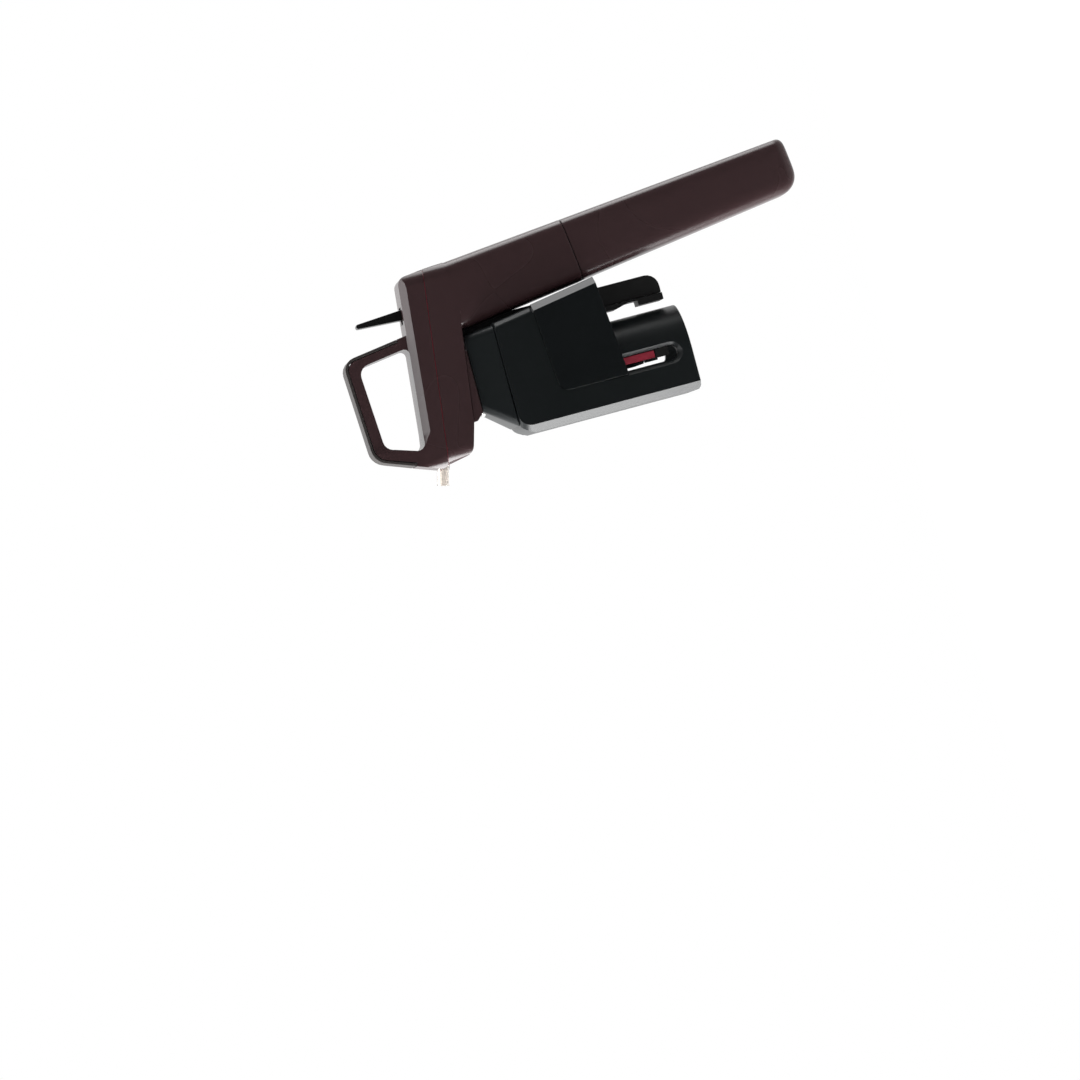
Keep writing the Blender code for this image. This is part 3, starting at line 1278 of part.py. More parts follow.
def make_spout(colours, slide, head, cap):
    """The needle, the hub that turns the wine into the spout, the spout and the gas tube."""
    hub = add_object(
        "needle_hub",
        turned(
            "needle_hub",
            [
                (0, HUB_TOP),
                (HUB_RADIUS, HUB_TOP),
                (HUB_RADIUS, HUB_FOOT),
                (NEEDLE_RADIUS + SEAT_GAP, HUB_FOOT),
                (NEEDLE_RADIUS + SEAT_GAP, NEEDLE_TOP),
                (0, NEEDLE_TOP),
            ],
        ),
        colours["steel"],
        slide,
    )
    seal_foot = HUB_FOOT - SEAT_GAP - HUB_SEAL_HEIGHT
    inner = NEEDLE_RADIUS + SEAT_GAP
    seal_rim = HUB_RADIUS - SEAT_GAP
    seal_top = HUB_FOOT - SEAT_GAP
    seal = turned(
        "hub_seal",
        [(seal_rim, seal_top), (seal_rim, seal_foot), (inner, seal_foot), (inner, seal_top)],
        sides=16,
    )
    add_object("hub_seal", seal, colours["rubber"], slide)
    cutter("hub", rod("hub", HUB_RADIUS + SEAT_GAP, seal_foot - SEAT_GAP, HUB_TOP + CUT_OVERRUN), head)

    point = NEEDLE_TIP + NEEDLE_POINT
    end = NEEDLE_TOP - SEAT_GAP
    needle = turned(
        "needle",
        [
            (NEEDLE_RADIUS, end),
            (NEEDLE_RADIUS, point),
            (NEEDLE_BORE * POINT_SHARE, NEEDLE_TIP),
            (NEEDLE_BORE, NEEDLE_TIP),
            (NEEDLE_BORE, end),
        ],
        sides=12,
    )
    add_object("needle", needle, colours["steel"], slide)

    turn = (0, SPOUT_RISE - math.pi / 2, 0)
    place = (0, 0, SPOUT_HEIGHT)
    tip = -SPOUT_TIP / math.cos(SPOUT_RISE)
    spout_mesh = turned(
        "spout",
        [(SPOUT_RADIUS, tip), (SPOUT_RADIUS, SPOUT_START), (SPOUT_BORE, SPOUT_START), (SPOUT_BORE, tip)],
    )
    spout = add_object("spout", spout_mesh, colours["clear"], slide)
    seal_end = SPOUT_SEAL_PLACE + SPOUT_SEAL_HEIGHT
    snug = SPOUT_RADIUS + SEAT_GAP
    seal_mesh = turned(
        "spout_seal",
        [
            (SPOUT_SEAL_RADIUS, seal_end),
            (SPOUT_SEAL_RADIUS, SPOUT_SEAL_PLACE),
            (snug, SPOUT_SEAL_PLACE),
            (snug, seal_end),
        ],
        sides=16,
    )
    seal = add_object("spout_seal", seal_mesh, colours["rubber"], slide)
    for made in (spout, seal):
        made.location = place
        made.rotation_euler = turn
    port = rod("hub_port", HUB_PORT, -CUT_OVERRUN, SPOUT_START + CUT_OVERRUN, 12)
    cutter("hub_port", port, hub, location=place, turn=turn)
    room = rod("spout", snug, SPOUT_START - CUT_OVERRUN, tip + CUT_OVERRUN)
    cutter("spout", room, head, cap, location=place, turn=turn)
    groove = rod(
        "spout_seal", SPOUT_SEAL_RADIUS + SEAT_GAP, SPOUT_SEAL_PLACE - SEAT_GAP, seal_end + SEAT_GAP
    )
    cutter("spout_seal", groove, head, cap, location=place, turn=turn)

    start = HUB_RADIUS + SEAT_GAP
    stop = TRIGGER_PIVOT[0] - TRIGGER_NOSE_ARM - VALVE_RADIUS - SEAT_GAP
    path = [(start, 0, GAS_TUBE_HEIGHT), (stop, 0, GAS_TUBE_HEIGHT)]
    add_object("gas_tube", tube("gas_tube", path, GAS_TUBE_RADIUS), colours["copper"], slide)
    path = [(0, 0, GAS_TUBE_HEIGHT), (stop + VALVE_RADIUS, 0, GAS_TUBE_HEIGHT)]
    cutter("gas_tube", tube("gas_tube", path, GAS_TUBE_RADIUS + TUBE_ROOM), head)


def thread_path(low, high):
    """A right-hand helix about the handle's axis, the same one for the ridge and its groove."""
    steps = round((high - low) / THREAD_PITCH * THREAD_POINTS)
    radius = SPIGOT_RADIUS + SEAT_GAP / 2
    path = []
    for step in range(steps + 1):
        along = low + (high - low) * step / steps
        angle = FULL_TURN * along / THREAD_PITCH
        path.append((radius * math.cos(angle), radius * math.sin(angle), along))
    return path


def corner_inset(along, radius):
    """How far the cup's side has drawn in where its end is rounded by a radius."""
    into = -along - (CUP_LENGTH - radius)
    if into <= 0:
        return 0.0
    return radius - math.sqrt(max(radius * radius - into * into, 0))


def make_cup(colours, spin):
    """The capsule cup with its bore and the groove of its thread."""
    rings = []
    places = [-SEAT_GAP / 2, -CUP_LENGTH / 2]
    steps = 7
    for step in range(steps):
        angle = math.pi / 2 * step / steps
        places.append(-(CUP_LENGTH - CUP_UNDER_ROUND) - CUP_UNDER_ROUND * math.sin(angle))
    places.append(-CUP_LENGTH)
    for along in places:
        half = handle_half(along)
        shrunk = min(along, 0)
        under = -half + corner_inset(shrunk, CUP_UNDER_ROUND) * CUP_UNDER_SHARE
        back = half - corner_inset(shrunk, CUP_BACK_ROUND)
        depth = handle_half_depth(along) - corner_inset(shrunk, CUP_SIDE_ROUND)
        rings.append(handle_ring(along, under, back, depth))
    cup = add_object("capsule_cup", loft("capsule_cup", rings), colours["burgundy"], spin)
    bore = rod("cup_bore", CUP_BORE, -(CUP_LENGTH - CUP_FLOOR), CUT_OVERRUN, sides=40)
    cutter("cup_bore", bore, cup, parent=spin)
    low = -THREAD_START - THREAD_ROOM - SEAT_GAP
    groove = tube("cup_thread", thread_path(low, 2 * CUT_OVERRUN), THREAD_RADIUS + THREAD_ROOM)
    cutter("cup_thread", groove, cup, parent=spin)
    floor = -(CUP_LENGTH - CUP_FLOOR) + SEAT_GAP
    cushion = rod("cup_cushion", CUP_BORE - SEAT_GAP, floor, floor + CUSHION_HEIGHT)
    add_object("cup_cushion", cushion, colours["rubber"], spin)


def make_regulator(colours, handle, head):
    """The regulator in the arm, with the threaded spigot that the cup screws on."""
    socket = CAPSULE_NECK_RADIUS + SEAT_GAP
    socket_top = CAPSULE_TOP + 2 * SEAT_GAP + CAPSULE_SEAL_HEIGHT
    piston_bore = PISTON_RADIUS + SEAT_GAP
    cavity = PISTON_FOOT - SEAT_GAP
    body = add_object(
        "regulator_body",
        turned(
            "regulator_body",
            [
                (SPIGOT_RADIUS, REGULATOR_HEIGHT),
                (SPIGOT_RADIUS, -SPIGOT_LENGTH),
                (socket, -SPIGOT_LENGTH),
                (socket, socket_top),
                (PORT_RADIUS, socket_top),
                (PORT_RADIUS, cavity),
                (piston_bore, cavity),
                (piston_bore, REGULATOR_HEIGHT),
            ],
            sides=40,
        ),
        colours["steel"],
        handle,
    )
    ridge_end = -THREAD_START + THREAD_TURNS * THREAD_PITCH
    ridge = tube("thread", thread_path(-THREAD_START, ridge_end), THREAD_RADIUS)
    cutter("thread", ridge, body, operation="UNION", parent=handle)

    piston_top = PISTON_FOOT + PISTON_HEIGHT
    piston = turned(
        "regulator_piston",
        [
            (0, piston_top + PISTON_ROD_LENGTH),
            (PISTON_ROD, piston_top + PISTON_ROD_LENGTH),
            (PISTON_ROD, piston_top),
            (PISTON_RADIUS, piston_top),
            (PISTON_RADIUS, PISTON_FOOT),
            (0, PISTON_FOOT),
        ],
    )
    plug_top = REGULATOR_HEIGHT - SEAT_GAP
    plug_foot = plug_top - PLUG_HEIGHT
    plug = turned(
        "regulator_plug",
        [
            (PISTON_RADIUS, plug_top),
            (PISTON_RADIUS, plug_foot),
            (PORT_RADIUS, plug_foot),
            (PORT_RADIUS, plug_top),
        ],
    )
    wire = REGULATOR_SPRING_WIRE
    coil_radius = (PISTON_ROD + PISTON_RADIUS) / 2
    path = coil(
        coil_radius, piston_top + wire + SEAT_GAP, plug_foot - wire - SEAT_GAP, REGULATOR_SPRING_CURLS
    )
    seal_foot = CAPSULE_TOP + SEAT_GAP
    seal_top = seal_foot + CAPSULE_SEAL_HEIGHT
    seal = turned(
        "capsule_seal",
        [
            (CAPSULE_NECK_RADIUS, seal_top),
            (CAPSULE_NECK_RADIUS, seal_foot),
            (PORT_RADIUS, seal_foot),
            (PORT_RADIUS, seal_top),
        ],
        sides=16,
    )
    pin_foot = CAPSULE_TOP - PIERCE_REACH
    pin_top = pin_foot + PIERCE_LENGTH
    pin = turned(
        "piercing_pin",
        [
            (PIERCE_RADIUS, pin_top),
            (PIERCE_RADIUS, pin_foot + PIERCE_REACH / 2),
            (PIERCE_BORE * POINT_SHARE, pin_foot),
            (PIERCE_BORE, pin_foot),
            (PIERCE_BORE, pin_top),
        ],
        sides=12,
    )
    for name, mesh, finish in (
        ("regulator_piston", piston, "brass"),
        ("regulator_plug", plug, "brass"),
        ("regulator_spring", tube("regulator_spring", path, wire), "steel"),
        ("capsule_seal", seal, "rubber"),
        ("piercing_pin", pin, "steel"),
    ):
        add_object(name, mesh, colours[finish], handle)
    make_supply_tube(colours, handle.parent, head)


def make_supply_tube(colours, slide, head):
    """The tube in the arm that takes gas from the regulator to the valve."""
    valve_place = TRIGGER_PIVOT[0] - TRIGGER_NOSE_ARM
    foot = handle_point(0, REGULATOR_HEIGHT + SEAT_GAP)
    bend = handle_point(0, SUPPLY_BEND)
    path = [
        (foot[0], 0, foot[1]),
        (bend[0], 0, bend[1]),
        (valve_place, 0, VALVE_FOOT - GAS_TUBE_RADIUS - SEAT_GAP),
    ]
    add_object("supply_tube", tube("supply_tube", path, GAS_TUBE_RADIUS), colours["copper"], slide)
    room = [Vector(point) for point in path]
    room[0] += (room[0] - room[1]).normalized() * CUT_OVERRUN
    room[2] += (room[2] - room[1]).normalized() * CUT_OVERRUN
    cutter("supply_tube", tube("supply_tube", room, GAS_TUBE_RADIUS + TUBE_ROOM), head)


def make_capsule(colours, carriage):
    """The punctured gas capsule, a thin-walled bottle that stands on the cup's cushion."""
    top = CAPSULE_TOP
    bottom = top - CAPSULE_LENGTH
    shoulder = top - CAPSULE_NECK_LENGTH
    steps = 4

    def outer(inset):
        """The capsule's side from its neck down to its bottom, drawn in by an inset."""
        chain = []
        neck, wide = CAPSULE_NECK_RADIUS - inset, CAPSULE_RADIUS - inset
        for step in range(steps + 1):
            share = (1 - math.cos(math.pi * step / steps)) / 2
            chain.append((neck + (wide - neck) * share, shoulder - CAPSULE_SHOULDER * step / steps))
        for step in range(steps):
            angle = math.pi / 2 * step / steps
            across = wide - CAPSULE_NECK_RADIUS * (1 - math.cos(angle))
            rise = CAPSULE_NECK_RADIUS * (1 - math.sin(angle)) + inset * math.sin(angle)
            chain.append((across, bottom + rise))
        chain.append((0, bottom + inset))
        return chain

    inside = outer(CAPSULE_WALL)[::-1]
    lid = [
        (CAPSULE_NECK_RADIUS - CAPSULE_WALL, top - CAPSULE_WALL),
        (CAPSULE_PUNCTURE, top - CAPSULE_WALL),
        (CAPSULE_PUNCTURE, top),
        (CAPSULE_NECK_RADIUS, top),
    ]
    mesh = turned("gas_capsule", inside + lid + outer(0), sides=32)
    add_object("gas_capsule", mesh, colours["capsule_steel"], carriage)


def make_vents(colours, handle, head):
    half = handle_half(VENT_HEIGHT)
    power = HANDLE_SQUARENESS
    side_share = VENT_SIDE / handle_half_depth(VENT_HEIGHT)
    surface = half * (1 - side_share**power) ** (1 / power)
    for side, name in ((1, "left"), (-1, "right")):
        place = (surface, side * VENT_SIDE, VENT_HEIGHT)
        turn = (0, math.pi / 2, 0)
        plug_mesh = rod("vent_plug_" + name, VENT_RADIUS, -VENT_DEPTH, 0, 16)
        plug = add_object("vent_plug_" + name, plug_mesh, colours["burgundy"], handle)
        plug.location = place
        plug.rotation_euler = turn
        hole = rod("vent_" + name, VENT_RADIUS + SEAT_GAP, -VENT_DEPTH - SEAT_GAP, CUT_OVERRUN, 16)
        cutter("vent_" + name, hole, head, parent=handle, location=place, turn=turn)


def make_colours():
    return {
        "burgundy": make_material("burgundy", (0.045, 0.022, 0.025), 0.28),
        "clamp_black": make_material("clamp_black", (0.009, 0.011, 0.012), 0.38),
        "gloss_black": make_material("gloss_black", (0.006, 0.007, 0.008), 0.12),
        "rail_black": make_material("rail_black", (0.012, 0.012, 0.012), 0.55),
        "rubber": make_material("rubber", (0.010, 0.010, 0.010), 0.8),
        "red": make_material("red", (0.22, 0.010, 0.022), 0.4),
        "rim_grey": make_material("rim_grey", (0.10, 0.085, 0.08), 0.5),
        "steel": make_material("steel", (0.6, 0.6, 0.6), 0.25, 1.0),
        "capsule_steel": make_material("capsule_steel", (0.45, 0.46, 0.48), 0.3, 1.0),
        "brass": make_material("brass", (0.7, 0.5, 0.22), 0.3, 1.0),
        "copper": make_material("copper", (0.75, 0.38, 0.24), 0.3, 1.0),
        "white_plastic": make_material("white_plastic", (0.75, 0.75, 0.72), 0.4),
        "clear": make_material("clear", (0.85, 0.83, 0.80), 0.1),
    }


def main():
    global collection, cutter_collection
    clear_scene()
    collection = bpy.data.collections.new("wine_preservation_dispenser")
    cutter_collection = bpy.data.collections.new("cutters")
    bpy.context.scene.collection.children.link(collection)
    bpy.context.scene.collection.children.link(cutter_collection)
    colours = make_colours()

    slide = pivot("head_slide")
    handle = pivot("handle_axis", (HANDLE_SEAM[0], 0, HANDLE_SEAM[1]), (0, -HANDLE_LEAN, 0), slide)
    carriage = pivot("capsule_slide", parent=handle)
    spin = pivot("cup_spin", parent=carriage)

    make_clamp(colours)
    make_jaws(colours)
    head = make_head(colours, slide, handle)
    make_rail(colours, slide, head)
    cap = make_cap(colours, slide)
    make_cap_screws(colours, slide, head, cap)
    make_trigger(colours, slide, cap)
    make_valve(colours, slide, head)
    make_spout(colours, slide, head, cap)
    make_regulator(colours, handle, head)
    make_capsule(colours, carriage)
    make_cup(colours, spin)
    make_vents(colours, handle, head)


main()
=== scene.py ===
# %% [markdown]
# # A wine preservation dispenser, dressed for its portrait
#
# The tool stands on a bottle's neck. A clamp sleeve grips the neck, a hollow needle goes through
# the cork, and a thumb trigger lets gas from a capsule in the handle push the wine out of a small
# spout. The engineering model is already packed as a frame, so this lesson adds what a camera
# sees: rounded edges, smooth handle shells, grained and glossy plastics, metals, light and a view.

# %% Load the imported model
import json
import math

import bmesh
import bpy
from mathutils import Matrix, Vector


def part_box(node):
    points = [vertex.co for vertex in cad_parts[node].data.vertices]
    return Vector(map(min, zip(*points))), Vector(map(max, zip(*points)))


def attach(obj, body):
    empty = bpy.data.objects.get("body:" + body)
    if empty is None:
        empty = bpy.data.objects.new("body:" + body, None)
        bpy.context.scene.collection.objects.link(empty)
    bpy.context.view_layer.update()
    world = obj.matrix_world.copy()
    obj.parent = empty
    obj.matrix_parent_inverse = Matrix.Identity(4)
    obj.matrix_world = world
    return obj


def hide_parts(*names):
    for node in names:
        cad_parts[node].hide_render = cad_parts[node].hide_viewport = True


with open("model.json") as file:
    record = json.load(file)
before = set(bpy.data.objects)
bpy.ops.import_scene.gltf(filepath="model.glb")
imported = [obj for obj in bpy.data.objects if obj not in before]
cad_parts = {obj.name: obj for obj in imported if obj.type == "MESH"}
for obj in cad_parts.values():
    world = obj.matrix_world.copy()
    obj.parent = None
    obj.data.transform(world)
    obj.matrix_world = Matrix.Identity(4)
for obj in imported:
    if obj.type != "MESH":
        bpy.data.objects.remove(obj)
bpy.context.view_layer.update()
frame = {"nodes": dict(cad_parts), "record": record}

record = frame["record"]
body_of_node = {node: body for body, nodes in record["behaviour"]["bodies"].items() for node in nodes}
slot_of_node = {entry["node"]: entry["material_slot"] for entry in record["subparts"]}
print("nodes in the frame:", len(frame["nodes"]))

# %% [markdown]
# ## Sums between sockets
#
# A procedural finish is mostly sums: noise times a little, plus a base. Wiring Math nodes by hand
# hides them, so one small class wraps a socket and lets Python's own operators add the nodes. A
# number on either side is typed into the node. Colours go through Mix, which keeps all channels.

# %% Sockets that can be added and multiplied
class Wire:
    """A value socket that takes part in Python sums by adding Math nodes."""

    def __init__(self, finish, socket):
        self.finish = finish
        self.socket = socket

    def _sum(self, operation, first, second):
        return self.finish.node("ShaderNodeMath", {"operation": operation}, {0: first, 1: second})

    def __add__(self, other):
        return self._sum("ADD", self, other)

    def __radd__(self, other):
        return self._sum("ADD", other, self)

    def __sub__(self, other):
        return self._sum("SUBTRACT", self, other)

    def __rsub__(self, other):
        return self._sum("SUBTRACT", other, self)

    def __mul__(self, other):
        return self._sum("MULTIPLY", self, other)

    def __rmul__(self, other):
        return self._sum("MULTIPLY", other, self)

    def __gt__(self, other):
        return self._sum("GREATER_THAN", self, other)

    def power(self, other):
        return self._sum("POWER", self, other)


class Finish:
    """A material that is written down as nodes and sums."""

    def __init__(self, name, shader="ShaderNodeBsdfPrincipled"):
        self.material = bpy.data.materials.new(name)
        self.material.use_nodes = True
        self.tree = self.material.node_tree
        self.tree.nodes.clear()
        self.out = self.tree.nodes.new("ShaderNodeOutputMaterial")
        self.shader = self.tree.nodes.new(shader)
        self.tree.links.new(self.shader.outputs[0], self.out.inputs["Surface"])
        self.place = self.node("ShaderNodeTexCoord", {}, {}, "Object")

    def put(self, socket, value):
        """Links a wire to a socket, or types a plain value into it."""
        if isinstance(value, Wire):
            self.tree.links.new(value.socket, socket)
        elif isinstance(value, (tuple, list)) and len(value) == 3 and socket.type == "RGBA":
            socket.default_value = (*value, 1.0)
        else:
            socket.default_value = value

    def node(self, kind, settings, inputs, output=0):
        """Adds any node: its settings first, then its sockets, and gives one output as a wire."""
        made = self.tree.nodes.new(kind)
        for key, value in settings.items():
            if key == "stops":
                while len(made.color_ramp.elements) < len(value):
                    made.color_ramp.elements.new(0.5)
                for element, (position, grey) in zip(made.color_ramp.elements, value):
                    element.position = position
                    element.color = (grey, grey, grey, 1.0)
            else:
                setattr(made, key, value)
        for key, value in inputs.items():
            self.put(made.inputs[key], value)
        return Wire(self, made.outputs[output])

    def set(self, **values):
        """Sets the shader's sockets by name, with underscores for spaces."""
        for key, value in values.items():
            self.put(self.shader.inputs[key.replace("_", " ")], value)
        return self

    def noise(self, scale, detail=3.0, rough=0.5, stretch=None, distortion=0.0):
        """Fractal noise between 0 and 1, with its grain drawn out if a stretch is given."""
        place = self.place
        if stretch is not None:
            place = self.node("ShaderNodeMapping", {}, {"Vector": place, "Scale": stretch})
        sockets = {"Vector": place, "Scale": scale, "Detail": detail, "Roughness": rough, "Distortion": distortion}
        return self.node("ShaderNodeTexNoise", {}, sockets)

    def cells(self, scale):
        """Distance to the nearest of many scattered points, for specks and moulded grain."""
        return self.node("ShaderNodeTexVoronoi", {}, {"Vector": self.place, "Scale": scale}, "Distance")

    def ramp(self, value, *stops):
        """A value squeezed between stops of position and grey."""
        return self.node("ShaderNodeValToRGB", {"stops": stops}, {"Fac": value})

    def blend(self, amount, first, second):
        """One colour that fades into another."""
        return self.node(
            "ShaderNodeMix", {"data_type": "RGBA"}, {"Factor": amount, "A": first, "B": second}, "Result"
        )

    def bump(self, height, strength, distance, under=None):
        inputs = {"Strength": strength, "Distance": distance, "Height": height}
        if under is not None:
            inputs["Normal"] = under
        return self.node("ShaderNodeBump", {}, inputs)


print("socket sums ready")

# %% [markdown]
# ## The wine-red plastic
#
# The head, the arm and the capsule cup are moulded in a deep wine-red plastic and polished. The
# polish leaves no grain that a camera could see, so the surface stays flat. A broad noise changes
# the roughness, as handling does, and the red drifts a little from place to place.

# %% Wine-red gloss
WINE_DARK = (0.0360, 0.0186, 0.0198)
WINE_WARM = (0.0392, 0.0193, 0.0208)


def wine_gloss(name, roughness=0.27):
    finish = Finish(name)
    drift = finish.noise(14.0, detail=2.0)
    smudge = finish.noise(30.0, detail=0.0)
    finish.set(
        Base_Color=finish.blend(drift, WINE_DARK, WINE_WARM),
        Roughness=roughness + (smudge - 0.5) * 0.06,
    )
    finish.shader.inputs["Specular IOR Level"].default_value = 0.50
    return finish.material


wine = wine_gloss("wine_gloss")
print("made", wine.name)

# %% [markdown]
# ## The blacks
#
# The clamp is a satin black with a trace of green, and its tooling grain shows only where light
# grazes it. The badge plates are polished black, the rail is matte and the seals are rubber. One
# function makes all four, because they differ only in grain, sheen and how dusty they look.

# %% Satin, polished, matte and rubber black
def moulded_black(name, colour, roughness, grain_scale, grain, specular, dust=0.06):
    finish = Finish(name)
    cloud = finish.noise(22.0, detail=3.0)
    tooling = finish.noise(grain_scale, detail=3.0, rough=0.7)
    pits = finish.ramp(finish.cells(grain_scale * 0.6), (0.0, 0.0), (0.5, 1.0))
    relief = tooling * 0.7 + pits * 0.3
    light = tuple(channel * 1.5 + 0.001 for channel in colour)
    finish.set(
        Base_Color=finish.blend(cloud, colour, light),
        Roughness=roughness + (cloud - 0.5) * dust + (tooling - 0.5) * dust,
        Normal=finish.bump(relief, grain, 0.00008),
    )
    finish.shader.inputs["Specular IOR Level"].default_value = specular
    return finish.material


satin_black = moulded_black("satin_black", (0.0046, 0.0064, 0.0070), 0.36, 1800.0, 0.14, 0.40)
polished_black = moulded_black("polished_black", (0.0040, 0.0050, 0.0054), 0.11, 2400.0, 0.02, 0.45, 0.02)
matte_black = moulded_black("matte_black", (0.0085, 0.0085, 0.0085), 0.52, 1400.0, 0.35, 0.34)
seal_rubber = moulded_black("seal_rubber", (0.0090, 0.0090, 0.0090), 0.75, 1100.0, 0.45, 0.30, 0.12)
trigger_black = moulded_black("trigger_black", (0.0060, 0.0060, 0.0062), 0.30, 1800.0, 0.15, 0.42)
print("made", satin_black.name, polished_black.name, matte_black.name, seal_rubber.name, trigger_black.name)

# %% [markdown]
# ## Rim, jaws and pale plastics
#
# The finger loop's outer edge is a grey-brown strip with a soft touch. The jaws are crimson with a
# mottled moulded face. The needle's guide is white, and the spout is clear plastic whose inner
# wall scatters some light, so it reads as warm white with a shine on it.

# %% Coloured plastics
def moulded(name, dark, light, roughness, mottle, grain, distance=0.00008, specular=0.5):
    finish = Finish(name)
    patches = finish.noise(mottle, detail=4.0, rough=0.65)
    fine = finish.noise(mottle * 6.0, detail=2.0)
    finish.set(
        Base_Color=finish.blend(patches, dark, light),
        Roughness=roughness + (fine - 0.5) * 0.16,
        Normal=finish.bump(patches * 0.5 + fine * 0.5, grain, distance),
    )
    finish.shader.inputs["Specular IOR Level"].default_value = specular
    return finish.material


rim_grey = moulded("rim_grey", (0.030, 0.026, 0.025), (0.044, 0.038, 0.036), 0.48, 300.0, 0.12, specular=0.22)
crimson = moulded("crimson", (0.190, 0.006, 0.018), (0.360, 0.014, 0.040), 0.38, 520.0, 0.45, 0.00015)
white_plastic = moulded("white_plastic", (0.62, 0.62, 0.60), (0.74, 0.74, 0.72), 0.42, 240.0, 0.12)


def clear_plastic(name):
    finish = Finish(name)
    flow = finish.noise(160.0, detail=2.0, stretch=(0.25, 1.0, 1.0))
    finish.set(
        Base_Color=finish.blend(flow, (0.80, 0.75, 0.70), (0.90, 0.86, 0.82)),
        Roughness=0.04 + flow * 0.06,
        Normal=finish.bump(flow, 0.08, 0.0001),
    )
    finish.shader.inputs["Transmission Weight"].default_value = 0.85
    finish.shader.inputs["IOR"].default_value = 1.46
    return finish.material


clear = clear_plastic("clear_plastic")
print("made", rim_grey.name, crimson.name, white_plastic.name, clear.name)

# %% [markdown]
# ## Metals
#
# Turned and drawn metal keeps fine lines along the way it was worked. Noise that is stretched
# along one axis gives the lines, and they go into the roughness and a very shallow bump. Steel,
# brass and copper differ only in colour and in the way their lines run.

# %% Steel, brass and copper
def worked_metal(name, colour, roughness, along=(1.0, 1.0, 0.04), lines=1500.0):
    finish = Finish(name)
    streaks = finish.noise(lines, detail=3.0, stretch=along)
    stain = finish.noise(60.0, detail=3.0)
    dark = tuple(channel * 0.78 for channel in colour)
    finish.set(
        Base_Color=finish.blend(stain, dark, colour),
        Metallic=1.0,
        Roughness=roughness + (streaks - 0.5) * 0.18 + (stain - 0.5) * 0.06,
        Normal=finish.bump(streaks, 0.12, 0.00004),
    )
    return finish.material


needle_steel = worked_metal("needle_steel", (0.62, 0.62, 0.63), 0.24)
capsule_steel = worked_metal("capsule_steel", (0.50, 0.51, 0.53), 0.28, along=(0.05, 0.05, 1.0))
brass = worked_metal("brass", (0.72, 0.52, 0.24), 0.28, along=(0.05, 0.05, 1.0))
copper = worked_metal("copper", (0.78, 0.42, 0.27), 0.26)
finish_of_slot = {
    "burgundy": wine,
    "clamp_black": satin_black,
    "gloss_black": polished_black,
    "rail_black": matte_black,
    "rubber": seal_rubber,
    "red": crimson,
    "rim_grey": rim_grey,
    "steel": needle_steel,
    "capsule_steel": capsule_steel,
    "brass": brass,
    "copper": copper,
    "white_plastic": white_plastic,
    "clear": clear,
}
print("finishes for", len(finish_of_slot), "slots")

# %% [markdown]
# ## Dressing every engineering node
#
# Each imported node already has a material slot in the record. A node that is hidden inside, such
# as a seal or a valve, keeps its own mesh and takes its slot's finish. This is done for all of
# them first, and the pieces that show are then replaced by smoother ones.

# %% Give every node its slot's finish
for name, node in frame["nodes"].items():
    node.data.materials.clear()
    node.data.materials.append(finish_of_slot[slot_of_node[name]])
print("dressed", len(frame["nodes"]), "nodes")

# %% [markdown]
# ## Rounding the edges of moulded parts
#
# The engineering solids have knife edges, and no moulding does: a corner of half a millimetre is
# what catches the light and draws the outline of a part. Each solid that shows is copied, its
# loose triangles are welded and its flat faces joined again, and a Bevel modifier rounds every
# edge that turns by more than a set angle. Hardened normals keep the flat faces flat.

# %% A rounded copy of an engineering node
def settle(piece):
    """Bakes an object's modifiers into a plain mesh at the origin."""
    evaluated = piece.evaluated_get(bpy.context.evaluated_depsgraph_get())
    mesh = bpy.data.meshes.new_from_object(evaluated)
    mesh.transform(piece.matrix_world)
    name, data = piece.name, piece.data
    bpy.data.objects.remove(piece)
    if isinstance(data, bpy.types.Mesh) and data.users == 0:
        bpy.data.meshes.remove(data)
    settled = bpy.data.objects.new(name, mesh)
    bpy.context.scene.collection.objects.link(settled)
    return settled


def welded_copy(node, name):
    """The node's triangles as one mesh with whole flat faces."""
    shape = bmesh.new()
    shape.from_mesh(frame["nodes"][node].data)
    shape.transform(frame["nodes"][node].matrix_world)
    bmesh.ops.remove_doubles(shape, verts=shape.verts, dist=2e-6)
    bmesh.ops.dissolve_limit(
        shape, angle_limit=math.radians(0.6), use_dissolve_boundaries=False, verts=shape.verts, edges=shape.edges
    )
    mesh = bpy.data.meshes.new(name)
    shape.to_mesh(mesh)
    shape.free()
    piece = bpy.data.objects.new(name, mesh)
    bpy.context.scene.collection.objects.link(piece)
    return piece


def evened(piece):
    """Smooth shading in which the broad faces win over the narrow ones beside them."""
    weigh = piece.modifiers.new("even", "WEIGHTED_NORMAL")
    weigh.keep_sharp = True
    piece.data.shade_smooth()
    return settle(piece)


def round_edges(piece, width, angle=32.0, segments=3):
    """Rounds every edge that turns by more than an angle."""
    bevel = piece.modifiers.new("round", "BEVEL")
    bevel.width = width
    bevel.segments = segments
    bevel.limit_method = "ANGLE"
    bevel.angle_limit = math.radians(angle)
    bevel.miter_outer = "MITER_ARC"
    bevel.harden_normals = True
    return evened(piece)


def softened(piece, width, chosen, steps=6):
    """Rounds only the edges that a test chooses, with a wider radius."""
    shape = bmesh.new()
    shape.from_mesh(piece.data)
    edges = [edge for edge in shape.edges if all(chosen(*vert.co) for vert in edge.verts)]
    bmesh.ops.bevel(shape, geom=edges, offset=width, segments=steps, profile=0.5, affect="EDGES", clamp_overlap=True)
    shape.to_mesh(piece.data)
    shape.free()
    return piece


def moved_points(piece, rule):
    """Gives every point of a piece the place that a rule returns for it."""
    for vert in piece.data.vertices:
        vert.co = rule(*vert.co)
    return piece


